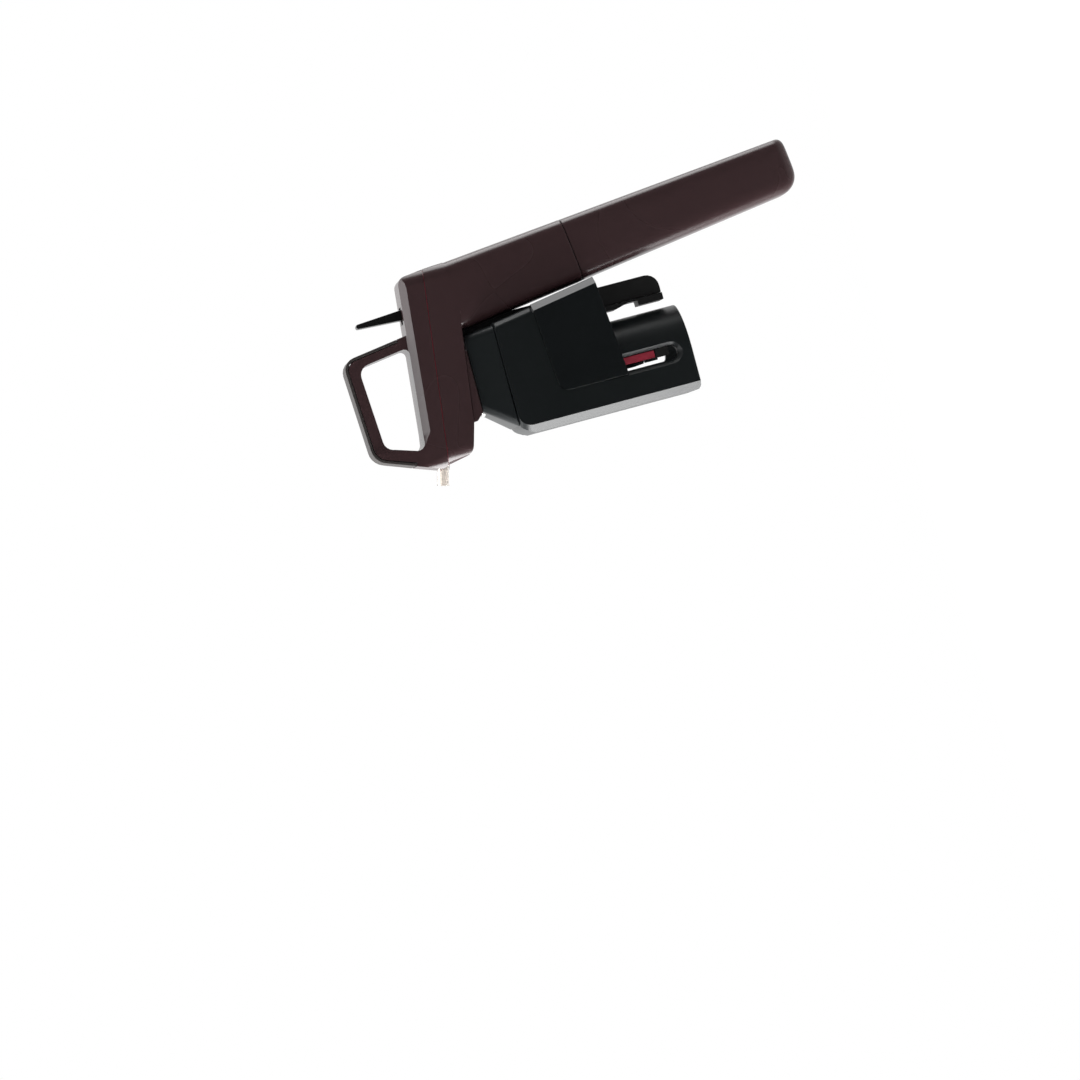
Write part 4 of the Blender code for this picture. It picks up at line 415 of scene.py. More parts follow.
def block_corner(x, y, z):
    """Draws the neck block's front corners out, so that they are less round than its back ones."""
    share = (z - BLOCK_FOOT[2]) / (BLOCK_TOP[2] - BLOCK_FOOT[2])
    corner_x = BLOCK_FOOT[0] + (BLOCK_TOP[0] - BLOCK_FOOT[0]) * share
    corner_y = BLOCK_FOOT[1] + (BLOCK_TOP[1] - BLOCK_FOOT[1]) * share
    if not (0 <= share <= 1) or x > corner_x + BLOCK_ROUND or abs(y) < corner_y - BLOCK_ROUND - 0.00001:
        return (x, y, z)
    side = math.copysign(1.0, y)
    x = corner_x + (x - corner_x) * BLOCK_CORNER_SHARE
    y = side * (corner_y - (corner_y - abs(y)) * BLOCK_CORNER_SHARE)
    return (x, y, z)


def flat_front_edge(x, y, z):
    """Turns the sleeve's rounded front corners into flat chamfers."""
    if x > SLEEVE_FRONT + SLEEVE_EDGE + 0.00001 or abs(y) < SLEEVE_HALF - SLEEVE_EDGE - 0.00001:
        return (x, y, z)
    share = (x - SLEEVE_FRONT + abs(y) - SLEEVE_HALF + SLEEVE_EDGE) / (2 * SLEEVE_EDGE)
    deep = SLEEVE_HALF - SLEEVE_EDGE + SLEEVE_EDGE * share
    return (SLEEVE_FRONT + SLEEVE_EDGE * share, math.copysign(deep, y), z)


def sunk_plate(x, y, z):
    """Sets a badge plate a little deeper, so that its rim lies in the groove's shadow."""
    return (x, y - math.copysign(PLATE_SINK, y), z)


def shoulder(x, y, z):
    """True on the long edges of the sleeve's shoulder, above the badge plate."""
    return z > 0.0660 and abs(y) > 0.0184 and x > 0.0310


def carved(piece, *tools):
    """Cuts tools out of a piece and bakes the result."""
    for tool in tools:
        cut = piece.modifiers.new("cut", "BOOLEAN")
        cut.operation = "DIFFERENCE"
        cut.solver = "EXACT"
        cut.object = tool
    bpy.context.view_layer.update()
    result = settle(piece)
    for tool in tools:
        bpy.data.objects.remove(tool)
    return result


def lofted(name, rings):
    """A closed cutter that runs through rings of points."""
    shape = bmesh.new()
    made = [[shape.verts.new(point) for point in ring] for ring in rings]
    for first, second in zip(made, made[1:]):
        for step in range(len(first)):
            after = (step + 1) % len(first)
            shape.faces.new((first[step], first[after], second[after], second[step]))
    shape.faces.new(made[0][::-1])
    shape.faces.new(made[-1])
    bmesh.ops.recalc_face_normals(shape, faces=shape.faces)
    mesh = bpy.data.meshes.new(name)
    shape.to_mesh(mesh)
    shape.free()
    tool = bpy.data.objects.new(name, mesh)
    bpy.context.scene.collection.objects.link(tool)
    return tool


def corner_tool(side, steps=10):
    """Carries the sleeve's front chamfer round its head-end corner, narrowing as it goes."""
    rings = []
    for share in (-0.06, 1.10):
        ring = [(-0.0260, CORNER_START), (-0.0260, 0.0900), (CORNER_END + 0.0200, 0.0900)]
        ring.append((CORNER_END + 0.0200, SLEEVE_TOP + 0.0001))
        for step in range(steps, -1, -1):
            angle = math.pi / 2 * step / steps
            outer_x = CORNER_MIDDLE[0] - CORNER_RADIUS * math.cos(angle)
            outer_z = CORNER_MIDDLE[1] + CORNER_RADIUS * math.sin(angle)
            inner_x = CORNER_END - CORNER_REACH[0] * math.cos(angle)
            inner_z = CORNER_START + CORNER_REACH[1] * math.sin(angle)
            ring.append((outer_x + (inner_x - outer_x) * share, outer_z + (inner_z - outer_z) * share))
        deep = side * (SLEEVE_HALF - SLEEVE_EDGE + SLEEVE_EDGE * share)
        rings.append([(x, deep, z) for x, z in ring])
    return lofted("tool", rings)


def window_tool():
    """Opens the finger window towards the spout, where its front edge follows the loop's."""
    outline = [(-0.0088, WINDOW_HIGH), (-0.00966, WINDOW_HIGH)]
    for step in range(13):
        angle = math.radians(162.0 + 102.5 * step / 12)
        x = WINDOW_CORNER[0] + WINDOW_ROUND * math.cos(angle)
        outline.append((x, WINDOW_CORNER[1] + WINDOW_ROUND * math.sin(angle)))
    outline.append((-0.0060, WINDOW_FLOOR))
    return lofted("tool", [[(x, deep, z) for x, z in outline] for deep in (-0.03, 0.03)])


def dress(piece, finish, *nodes):
    """Gives a finished piece its material, its body and the nodes that it stands for."""
    piece.data.materials.clear()
    piece.data.materials.append(finish)
    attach(piece, body_of_node[nodes[0]])
    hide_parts(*nodes)
    return piece


BLOCK_FOOT, BLOCK_TOP = (-0.0140, 0.0203, 0.0853), (-0.0036, 0.0140, 0.0986)
BLOCK_ROUND, BLOCK_CORNER_SHARE = 0.00402, 0.30
SLEEVE_FRONT, SLEEVE_HALF, SLEEVE_EDGE, SLEEVE_TOP = -0.0186, 0.0215, 0.0035, 0.0850
CORNER_MIDDLE, CORNER_RADIUS = (-0.0121, 0.0785), 0.00651
CORNER_START, CORNER_END, CORNER_REACH = 0.0785, -0.0096, (0.00551, 0.0062)
WINDOW_CORNER, WINDOW_ROUND, WINDOW_HIGH, WINDOW_FLOOR = (-0.00961, 0.13149), 0.0034, 0.14235, 0.12772
PLATE_SINK = 0.00025
SHOULDER_ROUND = 0.0018
ROUNDED = {
    # node: edge radius, its finish
    "clamp_sleeve": (0.00022, satin_black),
    "neck_block": (0.00022, satin_black),
    "badge_plate_left": (0.00012, polished_black),
    "badge_plate_right": (0.00012, polished_black),
    "top_cap": (0.00035, wine),
    "head_flange": (0.00050, wine),
    "loop_rim": (0.00030, rim_grey),
    "guide_rail": (0.00045, matte_black),
    "rail_strip": (0.00030, matte_black),
    "trigger": (0.00040, trigger_black),
    "jaw_left": (0.00020, crimson),
    "jaw_right": (0.00020, crimson),
    "jaw_pad_left": (0.00025, seal_rubber),
    "jaw_pad_right": (0.00025, seal_rubber),
    "spout": (0.00015, clear),
    "lip_pad": (0.00030, seal_rubber),
}
for node, (edge, finish) in ROUNDED.items():
    shell = welded_copy(node, node + "_shell")
    if node == "clamp_sleeve":
        shell = softened(moved_points(shell, flat_front_edge), SHOULDER_ROUND, shoulder)
        shell = carved(shell, corner_tool(1), corner_tool(-1))
    if node == "top_cap":
        shell = carved(shell, window_tool())
    if node == "neck_block":
        shell = moved_points(shell, block_corner)
    if finish is polished_black:
        shell = moved_points(shell, sunk_plate)
    shell = round_edges(shell, edge)
    dress(shell, finish, node)
    print("rounded", node, len(shell.data.polygons), "faces")

# %% [markdown]
# ## The capsule cup, from a rule
#
# The cup follows a rule: at each height its section is a squared-off ellipse that widens slowly
# up the handle, and near the foot the section draws in along a quarter circle, far on the under
# side and little on the back. That suits Geometry Nodes better than pushing points by hand. A flat
# grid is one turn around by one length along, and a formula puts every point of it in its place.

# %% Geometry Nodes written like sums
class Recipe(Finish):
    """A geometry tree with named inputs, written with the same sums as the finishes."""

    def __init__(self, name, inputs):
        self.tree = bpy.data.node_groups.new(name, "GeometryNodeTree")
        self.tree.interface.new_socket("Geometry", in_out="OUTPUT", socket_type="NodeSocketGeometry")
        self.tree.interface.new_socket("Geometry", in_out="INPUT", socket_type="NodeSocketGeometry")
        for key, kind in inputs.items():
            self.tree.interface.new_socket(key, in_out="INPUT", socket_type=kind)
        self.source = self.tree.nodes.new("NodeGroupInput")
        self.sink = self.tree.nodes.new("NodeGroupOutput")

    def given(self, name):
        return Wire(self, self.source.outputs[name])

    def math(self, operation, *values):
        return self.node("ShaderNodeMath", {"operation": operation}, dict(enumerate(values)))

    def finish(self, geometry, material):
        """Ends the tree in Realize Instances and Set Material."""
        real = self.node("GeometryNodeRealizeInstances", {}, {0: geometry})
        painted = self.node("GeometryNodeSetMaterial", {}, {"Geometry": real, "Material": material})
        self.tree.links.new(painted.socket, self.sink.inputs[0])
        return self.tree


def grown(name, tree, values, mesh=None):
    """Runs a tree on an object, with its inputs set by their identifiers, and bakes the result."""
    piece = bpy.data.objects.new(name, mesh or bpy.data.meshes.new(name))
    bpy.context.scene.collection.objects.link(piece)
    modifier = piece.modifiers.new("grow", "NODES")
    modifier.node_group = tree
    for item in tree.interface.items_tree:
        if item.item_type == "SOCKET" and item.in_out == "INPUT" and item.name in values:
            modifier[item.identifier] = values[item.name]
    return settle(piece)


def pointing_out(piece):
    """Welds a piece and turns its faces outwards."""
    shape = bmesh.new()
    shape.from_mesh(piece.data)
    bmesh.ops.remove_doubles(shape, verts=shape.verts, dist=1e-6)
    bmesh.ops.recalc_face_normals(shape, faces=shape.faces)
    shape.to_mesh(piece.data)
    shape.free()
    return piece


print("recipes ready")

# %% The rule of the handle's section
FLOAT, MATERIAL = "NodeSocketFloat", "NodeSocketMaterial"
handle_inputs = {
    "Half Width": FLOAT, "Half Depth": FLOAT, "Width Taper": FLOAT, "Depth Taper": FLOAT,
    "Low": FLOAT, "High": FLOAT, "Under Round": FLOAT, "Back Round": FLOAT, "Side Round": FLOAT,
    "Lip Round": FLOAT, "Squareness": FLOAT, "Finish": MATERIAL,
}
ROWS, COLUMNS = 110, 112
END_SHARE = 0.06
NEARLY_ZERO = 0.00001

rule = Recipe("handle_shell", handle_inputs)
grid = rule.node(
    "GeometryNodeMeshGrid", {}, {"Size X": 1.0, "Size Y": 1.0, "Vertices X": ROWS, "Vertices Y": COLUMNS}
)
spot = rule.node("GeometryNodeInputPosition", {}, {})
along = rule.node("ShaderNodeSeparateXYZ", {}, {0: spot}, "X") + 0.5
around = (rule.node("ShaderNodeSeparateXYZ", {}, {0: spot}, "Y") + 0.5) * math.tau
inner = rule.math("MINIMUM", rule.math("MAXIMUM", (along - END_SHARE) * (1 / (1 - 2 * END_SHARE)), 0.0), 1.0)
eased = inner * inner * (3.0 - 2.0 * inner)
height = rule.given("Low") + (rule.given("High") - rule.given("Low")) * eased
shrink = rule.math("MINIMUM", rule.math("MINIMUM", along, 1.0 - along) * (1 / END_SHARE), 1.0)


def drawn_in(radius, end, toward):
    """How far the section draws in where an end is rounded by a radius."""
    into = rule.math("MINIMUM", rule.math("MAXIMUM", (height - end) * toward + radius, 0.0), radius)
    return radius - rule.math("SQRT", rule.math("MAXIMUM", radius * radius - into * into, 0.0))


lip = drawn_in(rule.given("Lip Round"), rule.given("High"), 1.0)
under = drawn_in(rule.given("Under Round"), rule.given("Low"), -1.0) * 0.9
back = drawn_in(rule.given("Back Round"), rule.given("Low"), -1.0)
side = drawn_in(rule.given("Side Round"), rule.given("Low"), -1.0)
half = rule.given("Half Width") + height * rule.given("Width Taper") - lip
depth = rule.given("Half Depth") + height * rule.given("Depth Taper") - lip - side
power = rule.math("DIVIDE", 2.0, rule.given("Squareness"))


def squared(wave):
    """A wave pushed towards a square one. What is nearly zero counts as zero, so the turn closes."""
    size = rule.math("MAXIMUM", rule.math("ABSOLUTE", wave) - NEARLY_ZERO, 0.0)
    return rule.math("SIGN", wave) * rule.math("POWER", size, power)


squared_x = squared(rule.math("COSINE", around))
squared_y = squared(rule.math("SINE", around))
place_x = (under - back) * 0.5 + squared_x * (half - (under + back) * 0.5) * shrink
place_y = squared_y * depth * shrink
placed = rule.node("ShaderNodeCombineXYZ", {}, {0: place_x, 1: place_y, 2: height})
moved = rule.node("GeometryNodeSetPosition", {}, {"Geometry": grid, "Position": placed})
closed = rule.node("GeometryNodeMergeByDistance", {}, {"Geometry": moved, "Distance": 1e-6})
smooth = rule.node("GeometryNodeSetShadeSmooth", {}, {"Geometry": closed})
handle_tree = rule.finish(smooth, rule.given("Finish"))
print("handle rule has", len(handle_tree.nodes), "nodes")

# %% The cup, bored for its capsule
HANDLE_SEAM = Vector((0.0580, 0.0, 0.0403))
HANDLE_LEAN = math.radians(7.0)
SEAM_GAP = 0.00015
to_handle = Matrix.Translation(HANDLE_SEAM) @ Matrix.Rotation(-HANDLE_LEAN, 4, "Y")
handle_sizes = {
    "Half Width": 0.0147, "Half Depth": 0.0140, "Width Taper": 0.0207, "Depth Taper": 0.0150,
    "Under Round": 0.0090, "Back Round": 0.0030, "Side Round": 0.0050, "Lip Round": 0.0004,
    "Squareness": 4.6, "Finish": wine,
}
CUP_LENGTH, CUP_FLOOR, CUP_BORE = 0.1100, 0.0060, 0.0106


def round_tool(radius, low, high, sides=72):
    """A cylinder on the handle's axis, used as a cutter."""
    shape = bmesh.new()
    bmesh.ops.create_cone(
        shape, cap_ends=True, segments=sides, radius1=radius, radius2=radius, depth=high - low
    )
    mesh = bpy.data.meshes.new("tool")
    shape.to_mesh(mesh)
    shape.free()
    mesh.transform(Matrix.Translation((0, 0, (low + high) / 2)))
    tool = bpy.data.objects.new("tool", mesh)
    bpy.context.scene.collection.objects.link(tool)
    return tool


cup = grown("cup_shell", handle_tree, {**handle_sizes, "Low": -CUP_LENGTH, "High": -SEAM_GAP})
cup = carved(pointing_out(cup), round_tool(CUP_BORE, CUP_FLOOR - CUP_LENGTH, 0.002))
cup.data.transform(to_handle)
cup.data.set_sharp_from_angle(angle=math.radians(40))
dress(cup, wine, "capsule_cup")
print("cup has", len(cup.data.polygons), "faces")

# %% [markdown]
# ## The arm, flush with the head
#
# On the real tool the head's side runs into the arm's side without a step, so arm and cup share one
# squared section. The arm grows from the same rule as the cup. It is bored a little wider than the
# engineering arm that it wraps, and then joined to the head, so the bore, the rail's pocket and the
# valve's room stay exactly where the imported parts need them.

# %% A squared arm joined to the rounded head
ARM_LENGTH, ARM_IN_HEAD, WRAP = 0.0620, 0.0022, 0.00006
BORE_RADIUS, BORE_TOP = 0.0104, 0.0263
VENT_PLACES = ((0.0050, 0.0410), (-0.0050, 0.0410))
VENT_RADIUS, VENT_FACE = 0.0013, 0.01545


def block_tool(low, high):
    """A plain box, used as a cutter."""
    shape = bmesh.new()
    bmesh.ops.create_cube(shape, size=1.0)
    size = [high[axis] - low[axis] for axis in range(3)]
    middle = [(high[axis] + low[axis]) / 2 for axis in range(3)]
    bmesh.ops.scale(shape, vec=size, verts=shape.verts)
    bmesh.ops.translate(shape, vec=middle, verts=shape.verts)
    mesh = bpy.data.meshes.new("tool")
    shape.to_mesh(mesh)
    shape.free()
    tool = bpy.data.objects.new("tool", mesh)
    bpy.context.scene.collection.objects.link(tool)
    return tool


def vent_tool(side, height, radius, depth):
    """A round hole that goes into the arm's back."""
    tool = round_tool(radius, -depth, 0.003, sides=40)
    turn = Matrix.Rotation(math.radians(90), 4, "Y")
    tool.data.transform(Matrix.Translation((VENT_FACE, side, height)) @ turn)
    return tool


arm_sizes = {**handle_sizes, "Half Width": 0.0147 + WRAP, "Half Depth": 0.0140 + WRAP}
arm_sizes.update({"Under Round": 0.0004, "Back Round": 0.0004, "Side Round": 0.0004})
arm = grown("arm_shell", handle_tree, {**arm_sizes, "Low": SEAM_GAP - 0.00005, "High": ARM_LENGTH + ARM_IN_HEAD})
arm = carved(pointing_out(arm), round_tool(BORE_RADIUS + WRAP, -0.002, BORE_TOP + WRAP, sides=40))
arm.data.transform(to_handle)
rail_low, rail_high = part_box("guide_rail")
pocket_side = rail_high[1] + 0.0003 + WRAP
pocket = block_tool((0.020, -pocket_side, 0.030), (rail_high[0] + 0.0003 + WRAP, pocket_side, rail_high[2] + 0.0003))
arm = carved(arm, pocket)
head_shell = round_edges(welded_copy("head_body", "head_body_shell"), 0.00035, 50.0)
join = head_shell.modifiers.new("join", "BOOLEAN")
join.operation = "UNION"
join.solver = "EXACT"
join.object = arm
bpy.context.view_layer.update()
head_shell = settle(head_shell)
bpy.data.objects.remove(arm)
holes = [vent_tool(side, height, VENT_RADIUS + 0.00025, 0.0044) for side, height in VENT_PLACES]
for hole in holes:
    hole.data.transform(to_handle)
head_shell = carved(head_shell, *holes)
head_shell.data.set_sharp_from_angle(angle=math.radians(33))
head_shell = dress(evened(head_shell), wine, "head_body")
print("head has", len(head_shell.data.polygons), "faces")

# %% [markdown]
# ## Vent plugs and the seam's painted highlight
#
# Two small dished plugs sit in the arm's back, where gas is let out. A thin red strip fills the
# seam between the head and its cap as a painted highlight: it stands in for the line of light along
# the seam, and only its edge shows, as a fine line around the head.

# %% Dished plugs, turned from a profile
def turned_piece(name, profile, sides=48):
    """A closed piece turned about Z from pairs of radius and height."""
    shape = bmesh.new()
    rings = []
    for radius, height in profile:
        if radius == 0:
            rings.append([shape.verts.new((0, 0, height))])
            continue
        angles = [math.tau * step / sides for step in range(sides)]
        rings.append([shape.verts.new((radius * math.cos(a), radius * math.sin(a), height)) for a in angles])
    for first, second in zip(rings, rings[1:]):
        for step in range(sides):
            after = (step + 1) % sides
            corners = [first[step % len(first)], first[after % len(first)]]
            corners += [second[after % len(second)], second[step % len(second)]]
            shape.faces.new(list(dict.fromkeys(corners)))
    bmesh.ops.recalc_face_normals(shape, faces=shape.faces)
    mesh = bpy.data.meshes.new(name)
    shape.to_mesh(mesh)
    shape.free()
    piece = bpy.data.objects.new(name, mesh)
    bpy.context.scene.collection.objects.link(piece)
    piece.data.shade_smooth()
    piece.data.set_sharp_from_angle(angle=math.radians(40))
    return piece


plug_profile = [
    (0.0, -0.0040), (0.00115, -0.0040), (0.00130, -0.0038), (0.00130, -0.00018), (0.00122, -0.00004),
    (0.00110, 0.0), (0.00095, -0.00004), (0.00086, -0.00022), (0.00050, -0.00036), (0.0, -0.00040),
]
for (side, height), node in zip(VENT_PLACES, ("vent_plug_left", "vent_plug_right")):
    plug = turned_piece(node + "_shell", plug_profile)
    place = Matrix.Translation((VENT_FACE, side, height)) @ Matrix.Rotation(math.radians(90), 4, "Y")
    plug.data.transform(to_handle @ place)
    dress(plug, rim_grey, node)
print("plugs stand in the arm's back")

# %% The red strip in the seam, a painted highlight
SEAM_FRONT, SEAM_BACK = (-0.0227, 0.11992), (0.0661, 0.10870)
# Inset, width and height of the red strip that paints the seam's highlight
HIGHLIGHT_INSET, HIGHLIGHT_WIDTH, HIGHLIGHT_HIGH = 0.00030, 0.0014, 0.00028


def ring_plan(front, back, half, corner, steps=10):
    """A rounded rectangle as a list of places in x and y."""
    middles = [(back - corner, half - corner), (front + corner, half - corner)]
    middles += [(front + corner, corner - half), (back - corner, corner - half)]
    places = []
    for quarter, (across, deep) in enumerate(middles):
        for step in range(steps + 1):
            angle = math.pi / 2 * (quarter + step / steps)
            places.append((across + corner * math.cos(angle), deep + corner * math.sin(angle)))
    return places


# A crimson strip set into the seam as painted highlight: it stands in for the line of light between head and cap
def painted_seam_highlight():
    slope = (SEAM_BACK[1] - SEAM_FRONT[1]) / (SEAM_BACK[0] - SEAM_FRONT[0])
    shape = bmesh.new()
    rings = []
    for inset, lift in ((0.0, 0.00001), (0.0, HIGHLIGHT_HIGH), (HIGHLIGHT_WIDTH, HIGHLIGHT_HIGH), (HIGHLIGHT_WIDTH, 0.00001)):
        front, back = SEAM_FRONT[0] + HIGHLIGHT_INSET + inset, SEAM_BACK[0] - HIGHLIGHT_INSET - inset
        plan = ring_plan(front, back, 0.0150 - HIGHLIGHT_INSET - inset, 0.0070 - inset)
        height = [SEAM_FRONT[1] + (across - SEAM_FRONT[0]) * slope + lift for across, deep in plan]
        rings.append([shape.verts.new((across, deep, z)) for (across, deep), z in zip(plan, height)])
    for first, second in zip(rings, rings[1:] + rings[:1]):
        for step in range(len(first)):
            after = (step + 1) % len(first)
            shape.faces.new((first[step], first[after], second[after], second[step]))
    bmesh.ops.recalc_face_normals(shape, faces=shape.faces)
    mesh = bpy.data.meshes.new("painted_seam_highlight")
    shape.to_mesh(mesh)
    shape.free()
    highlight_line = bpy.data.objects.new("painted_seam_highlight", mesh)
    bpy.context.scene.collection.objects.link(highlight_line)
    highlight_line.data.materials.append(crimson)
    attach(highlight_line, "head")
    return highlight_line


# The red strip in the seam is painted highlight
print("gasket has", len(painted_seam_highlight().data.polygons), "faces")

# %% [markdown]
# ## Screws, as one instanced shape
#
# Button-head screws hold the cap from below, the rail from inside the arm and the neck block to
# the sleeve. They are all one shape, so one small tree builds a screw with a six-sided socket and
# sets a copy of it on each point of a list. The copies are made real and baked into one piece.

# %% A tree that sets screws on points
def screw_recipe():
    screw = Recipe("screws", {
        "Head Radius": FLOAT, "Head Height": FLOAT, "Shank Radius": FLOAT, "Length": FLOAT, "Finish": MATERIAL,
    })
    radius, height = screw.given("Head Radius"), screw.given("Head Height")
    head = screw.node("GeometryNodeMeshCone", {"fill_type": "NGON"}, {
        "Vertices": 32, "Radius Top": radius * 0.82, "Radius Bottom": radius, "Depth": height,
    })
    socket = screw.node("GeometryNodeMeshCone", {"fill_type": "NGON"}, {
        "Vertices": 6, "Radius Top": radius * 0.52, "Radius Bottom": radius * 0.46, "Depth": height,
    })
    lift = screw.node("ShaderNodeCombineXYZ", {}, {2: height * 0.45})
    socket = screw.node("GeometryNodeTransform", {}, {"Geometry": socket, "Translation": lift})
    hollow = screw.node("GeometryNodeMeshBoolean", {"operation": "DIFFERENCE", "solver": "EXACT"}, {
        "Mesh 1": head, "Mesh 2": socket,
    })
    shank = screw.node("GeometryNodeMeshCone", {"fill_type": "NGON"}, {
        "Vertices": 24, "Radius Top": screw.given("Shank Radius"),
        "Radius Bottom": screw.given("Shank Radius") * 0.6, "Depth": screw.given("Length"),
    })
    drop = screw.node("ShaderNodeCombineXYZ", {}, {2: 0.0002 - screw.given("Length")})
    shank = screw.node("GeometryNodeTransform", {}, {"Geometry": shank, "Translation": drop})
    joined = screw.node("GeometryNodeMeshBoolean", {"operation": "UNION", "solver": "EXACT"}, {
        "Mesh 2": hollow,
    })
    screw.tree.links.new(shank.socket, joined.socket.node.inputs["Mesh 2"])
    copies = screw.node("GeometryNodeInstanceOnPoints", {}, {
        "Points": screw.given("Geometry"), "Instance": joined,
    })
    return screw.finish(copies, screw.given("Finish"))


screw_tree = screw_recipe()
HEAD_HEIGHT = 0.0016
SCREW_SETS = {
    # piece: the nodes it stands for, the turn that brings the head to its side, the length
    "cap_screws": (("cap_screw_left_1", "cap_screw_right_1", "cap_screw_left_2", "cap_screw_right_2"),
                   Matrix.Rotation(math.pi, 3, "X"), 0.0155),
    "rail_screws": (("rail_screw_1", "rail_screw_2"), Matrix.Rotation(-math.pi / 2, 3, "Y"), 0.0100),
    "block_screws": (("block_screw_left", "block_screw_right"), Matrix.Identity(3), 0.0120),
}
for name, (nodes, turn, length) in SCREW_SETS.items():
    seats = []
    for node in nodes:
        low, high = (Vector(corner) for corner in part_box(node))
        upright = [turn.inverted() @ corner for corner in (low, high)]
        top = max(corner.z for corner in upright)
        middle = turn.inverted() @ ((low + high) / 2)
        seats.append((middle.x, middle.y, top - HEAD_HEIGHT))
    points = bpy.data.meshes.new(name)
    points.from_pydata(seats, [], [])
    sizes = {"Head Radius": 0.0022, "Head Height": HEAD_HEIGHT, "Shank Radius": 0.0012, "Length": length}
    made = grown(name, screw_tree, {**sizes, "Finish": needle_steel}, points)
    made.data.transform(turn.to_4x4())
    made.data.set_sharp_from_angle(angle=math.radians(35))
    dress(pointing_out(made), needle_steel, *nodes)
    print(name, len(nodes), "screws,", len(made.data.polygons), "faces")

# %% [markdown]
# ## Floor, light and view
#
# The floor is pale and lies a bottle's height below the clamp. Three broad lamps do the work: one
# above, one behind the handle and a weaker one in front of the clamp. They are what the glossy
# edges mirror. A weak lamp beside the camera keeps the broad sides readable and dark.

# %% A pale floor that stays white to the camera
FLOOR_HEIGHT = -0.30
WORLD_NEAR, WORLD_FAR = 0.04, 1.0
FLOOR_HALF = 40.0
SHADOW_REACH, SHADOW_END = 0.35, 0.95


def stage_floor():
    finish = Finish("pale_floor", "ShaderNodeBsdfDiffuse")
    finish.shader.inputs["Color"].default_value = (0.86, 0.86, 0.86, 1.0)
    path = finish.node("ShaderNodeLightPath", {}, {}, "Is Camera Ray")
    mirror = finish.node("ShaderNodeLightPath", {}, {}, "Is Glossy Ray")
    through = finish.node("ShaderNodeLightPath", {}, {}, "Is Transmission Ray")
    flat = finish.node("ShaderNodeSeparateXYZ", {}, {0: finish.place}, "X")
    deep = finish.node("ShaderNodeSeparateXYZ", {}, {0: finish.place}, "Y")
    away = (flat * flat + deep * deep).power(0.5)
    seen = (path + through) * finish.ramp(away, (SHADOW_REACH, 0.70), (SHADOW_END, 1.0)) + mirror
    side = finish.ramp(deep * 0.5 + 0.5, (0.25, WORLD_NEAR), (0.70, WORLD_FAR))
    level = 1.0 - mirror * (1.0 - side)
    white = finish.node("ShaderNodeEmission", {}, {"Color": (1.0, 1.0, 1.0), "Strength": level})
    mixed = finish.node("ShaderNodeMixShader", {}, {"Fac": seen})
    finish.tree.links.new(finish.shader.outputs[0], mixed.socket.node.inputs[1])
    finish.tree.links.new(white.socket, mixed.socket.node.inputs[2])
    finish.tree.links.new(mixed.socket, finish.out.inputs["Surface"])
    shape = bmesh.new()
    bmesh.ops.create_grid(shape, x_segments=1, y_segments=1, size=FLOOR_HALF)
    mesh = bpy.data.meshes.new("floor")
    shape.to_mesh(mesh)
    shape.free()
    mesh.transform(Matrix.Translation((0, 0, FLOOR_HEIGHT)))
    mesh.materials.append(finish.material)
    floor = bpy.data.objects.new("floor", mesh)
    bpy.context.scene.collection.objects.link(floor)
    return floor


print("stage:", stage_floor().name)

# %% The world: white to the camera, soft grey as light
def make_world():
    world = bpy.data.worlds.new("studio")
    bpy.context.scene.world = world
    world.use_nodes = True
    tree = world.node_tree
    tree.nodes.clear()
    out = tree.nodes.new("ShaderNodeOutputWorld")
    board = Finish.__new__(Finish)
    board.tree = tree
    ray = board.node("ShaderNodeLightPath", {}, {}, "Is Camera Ray")
    through = board.node("ShaderNodeLightPath", {}, {}, "Is Transmission Ray")
    mirror = board.node("ShaderNodeLightPath", {}, {}, "Is Glossy Ray")
    direction = board.node("ShaderNodeTexCoord", {}, {}, "Generated")
    depth = board.node("ShaderNodeSeparateXYZ", {}, {0: direction}, "Y")
    behind = board.ramp((depth + 1.0) * 0.5, (0.32, WORLD_NEAR), (0.47, 1.0))
    level = (ray + through) * 1.0 + mirror * behind
    rest = (1.0 - ray) * (1.0 - through) * (1.0 - mirror) * WORLD_LIGHT
    background = board.node("ShaderNodeBackground", {}, {"Color": (1.0, 1.0, 1.0), "Strength": level + rest})
    tree.links.new(background.socket, out.inputs["Surface"])


WORLD_LIGHT = 0.50
make_world()
print("world made")

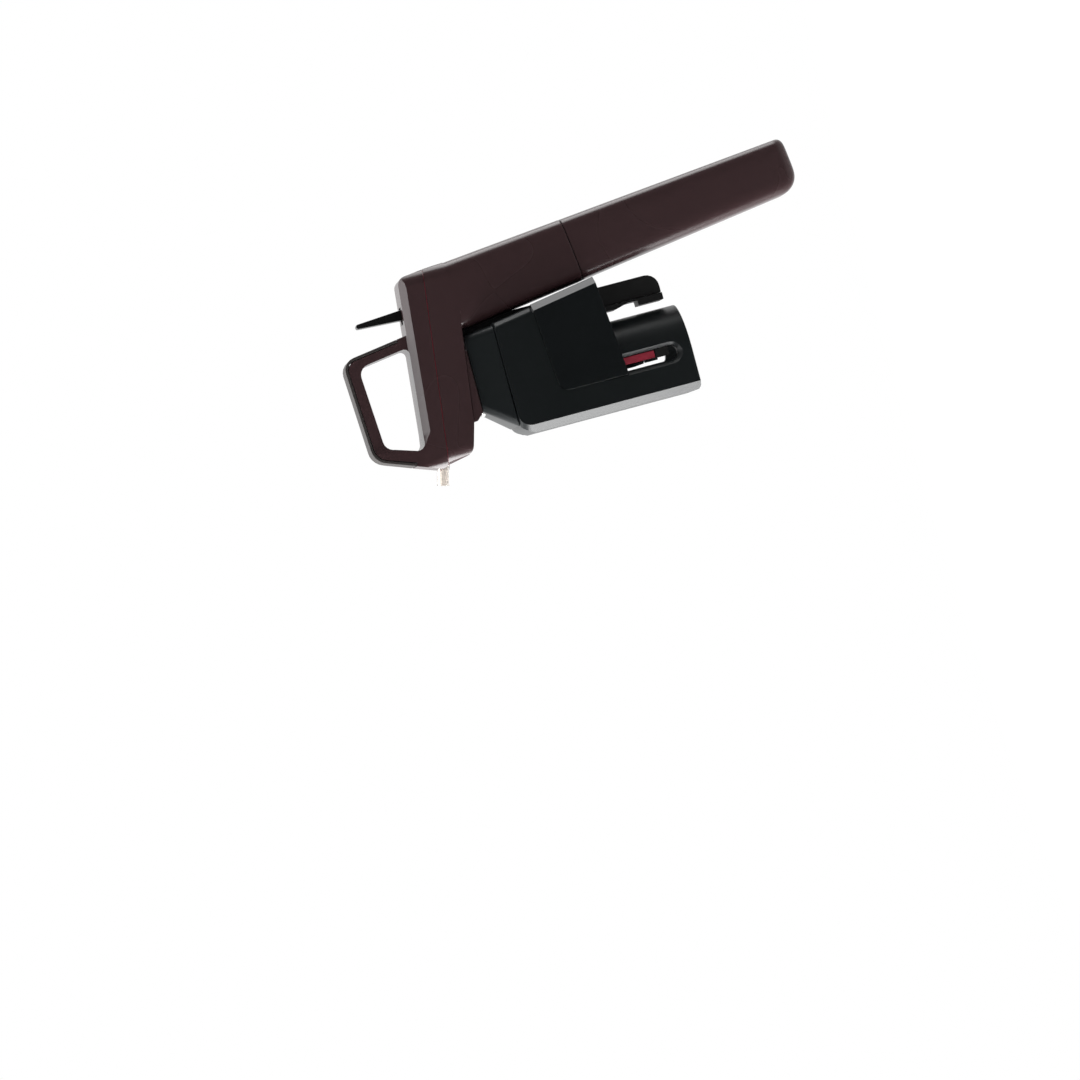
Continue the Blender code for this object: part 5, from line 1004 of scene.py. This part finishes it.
# %% Three broad lamps and a weak one
def lamp(name, place, aim, size, power, tint=(1.0, 1.0, 1.0)):
    light = bpy.data.lights.new(name, "AREA")
    light.shape = "RECTANGLE"
    light.size, light.size_y = size
    light.energy = power
    light.color = tint
    made = bpy.data.objects.new(name, light)
    bpy.context.scene.collection.objects.link(made)
    made.location = place
    made.rotation_euler = (Vector(aim) - Vector(place)).to_track_quat("-Z", "Y").to_euler()
    return made


MIDDLE = (0.02, 0.0, 0.05)
lamp("lamp_above", (-0.05, 0.25, 1.10), MIDDLE, (1.0, 0.9), 15.0)
lamp("lamp_handle", (1.10, 0.30, 0.20), MIDDLE, (0.9, 0.9), 9.0)
lamp("lamp_front", (-1.10, 0.00, 0.02), MIDDLE, (0.9, 0.9), 34.0)
lamp("lamp_camera", (-0.60, -0.90, 1.10), MIDDLE, (0.7, 0.7), 1.7).visible_glossy = False

# %% [markdown]
# ## The camera
#
# The photograph looks at the tool's side with a long lens, while the bottle is tipped to pour. The
# model stands upright, so the camera rolls instead: its up vector points mostly to the handle.

# %% A long lens, rolled to the pouring tilt
AZIMUTH, ELEVATION = math.radians(0.8), math.radians(6.5)
POUR_TILT = math.radians(15.10)
FRAME_WIDTH = 0.4938
LENS = 120.0
TARGET = Vector((-0.0664, 0.0, 0.0874))

camera = bpy.data.cameras.new("camera")
camera.lens = LENS
distance = FRAME_WIDTH * LENS / camera.sensor_width
back = Vector((
    math.sin(AZIMUTH) * math.cos(ELEVATION),
    -math.cos(AZIMUTH) * math.cos(ELEVATION),
    math.sin(ELEVATION),
))
up = Vector((math.cos(POUR_TILT), 0.0, -math.sin(POUR_TILT)))
up = (up - up.dot(back) * back).normalized()
right = up.cross(back)
turn = Matrix((right, up, back)).transposed()
viewer = bpy.data.objects.new("camera", camera)
bpy.context.scene.collection.objects.link(viewer)
viewer.matrix_world = Matrix.Translation(TARGET + back * distance) @ turn.to_4x4()
bpy.context.scene.camera = viewer
bpy.context.scene.view_settings.view_transform = "Standard"
print("camera stands", round(distance, 3), "m away")
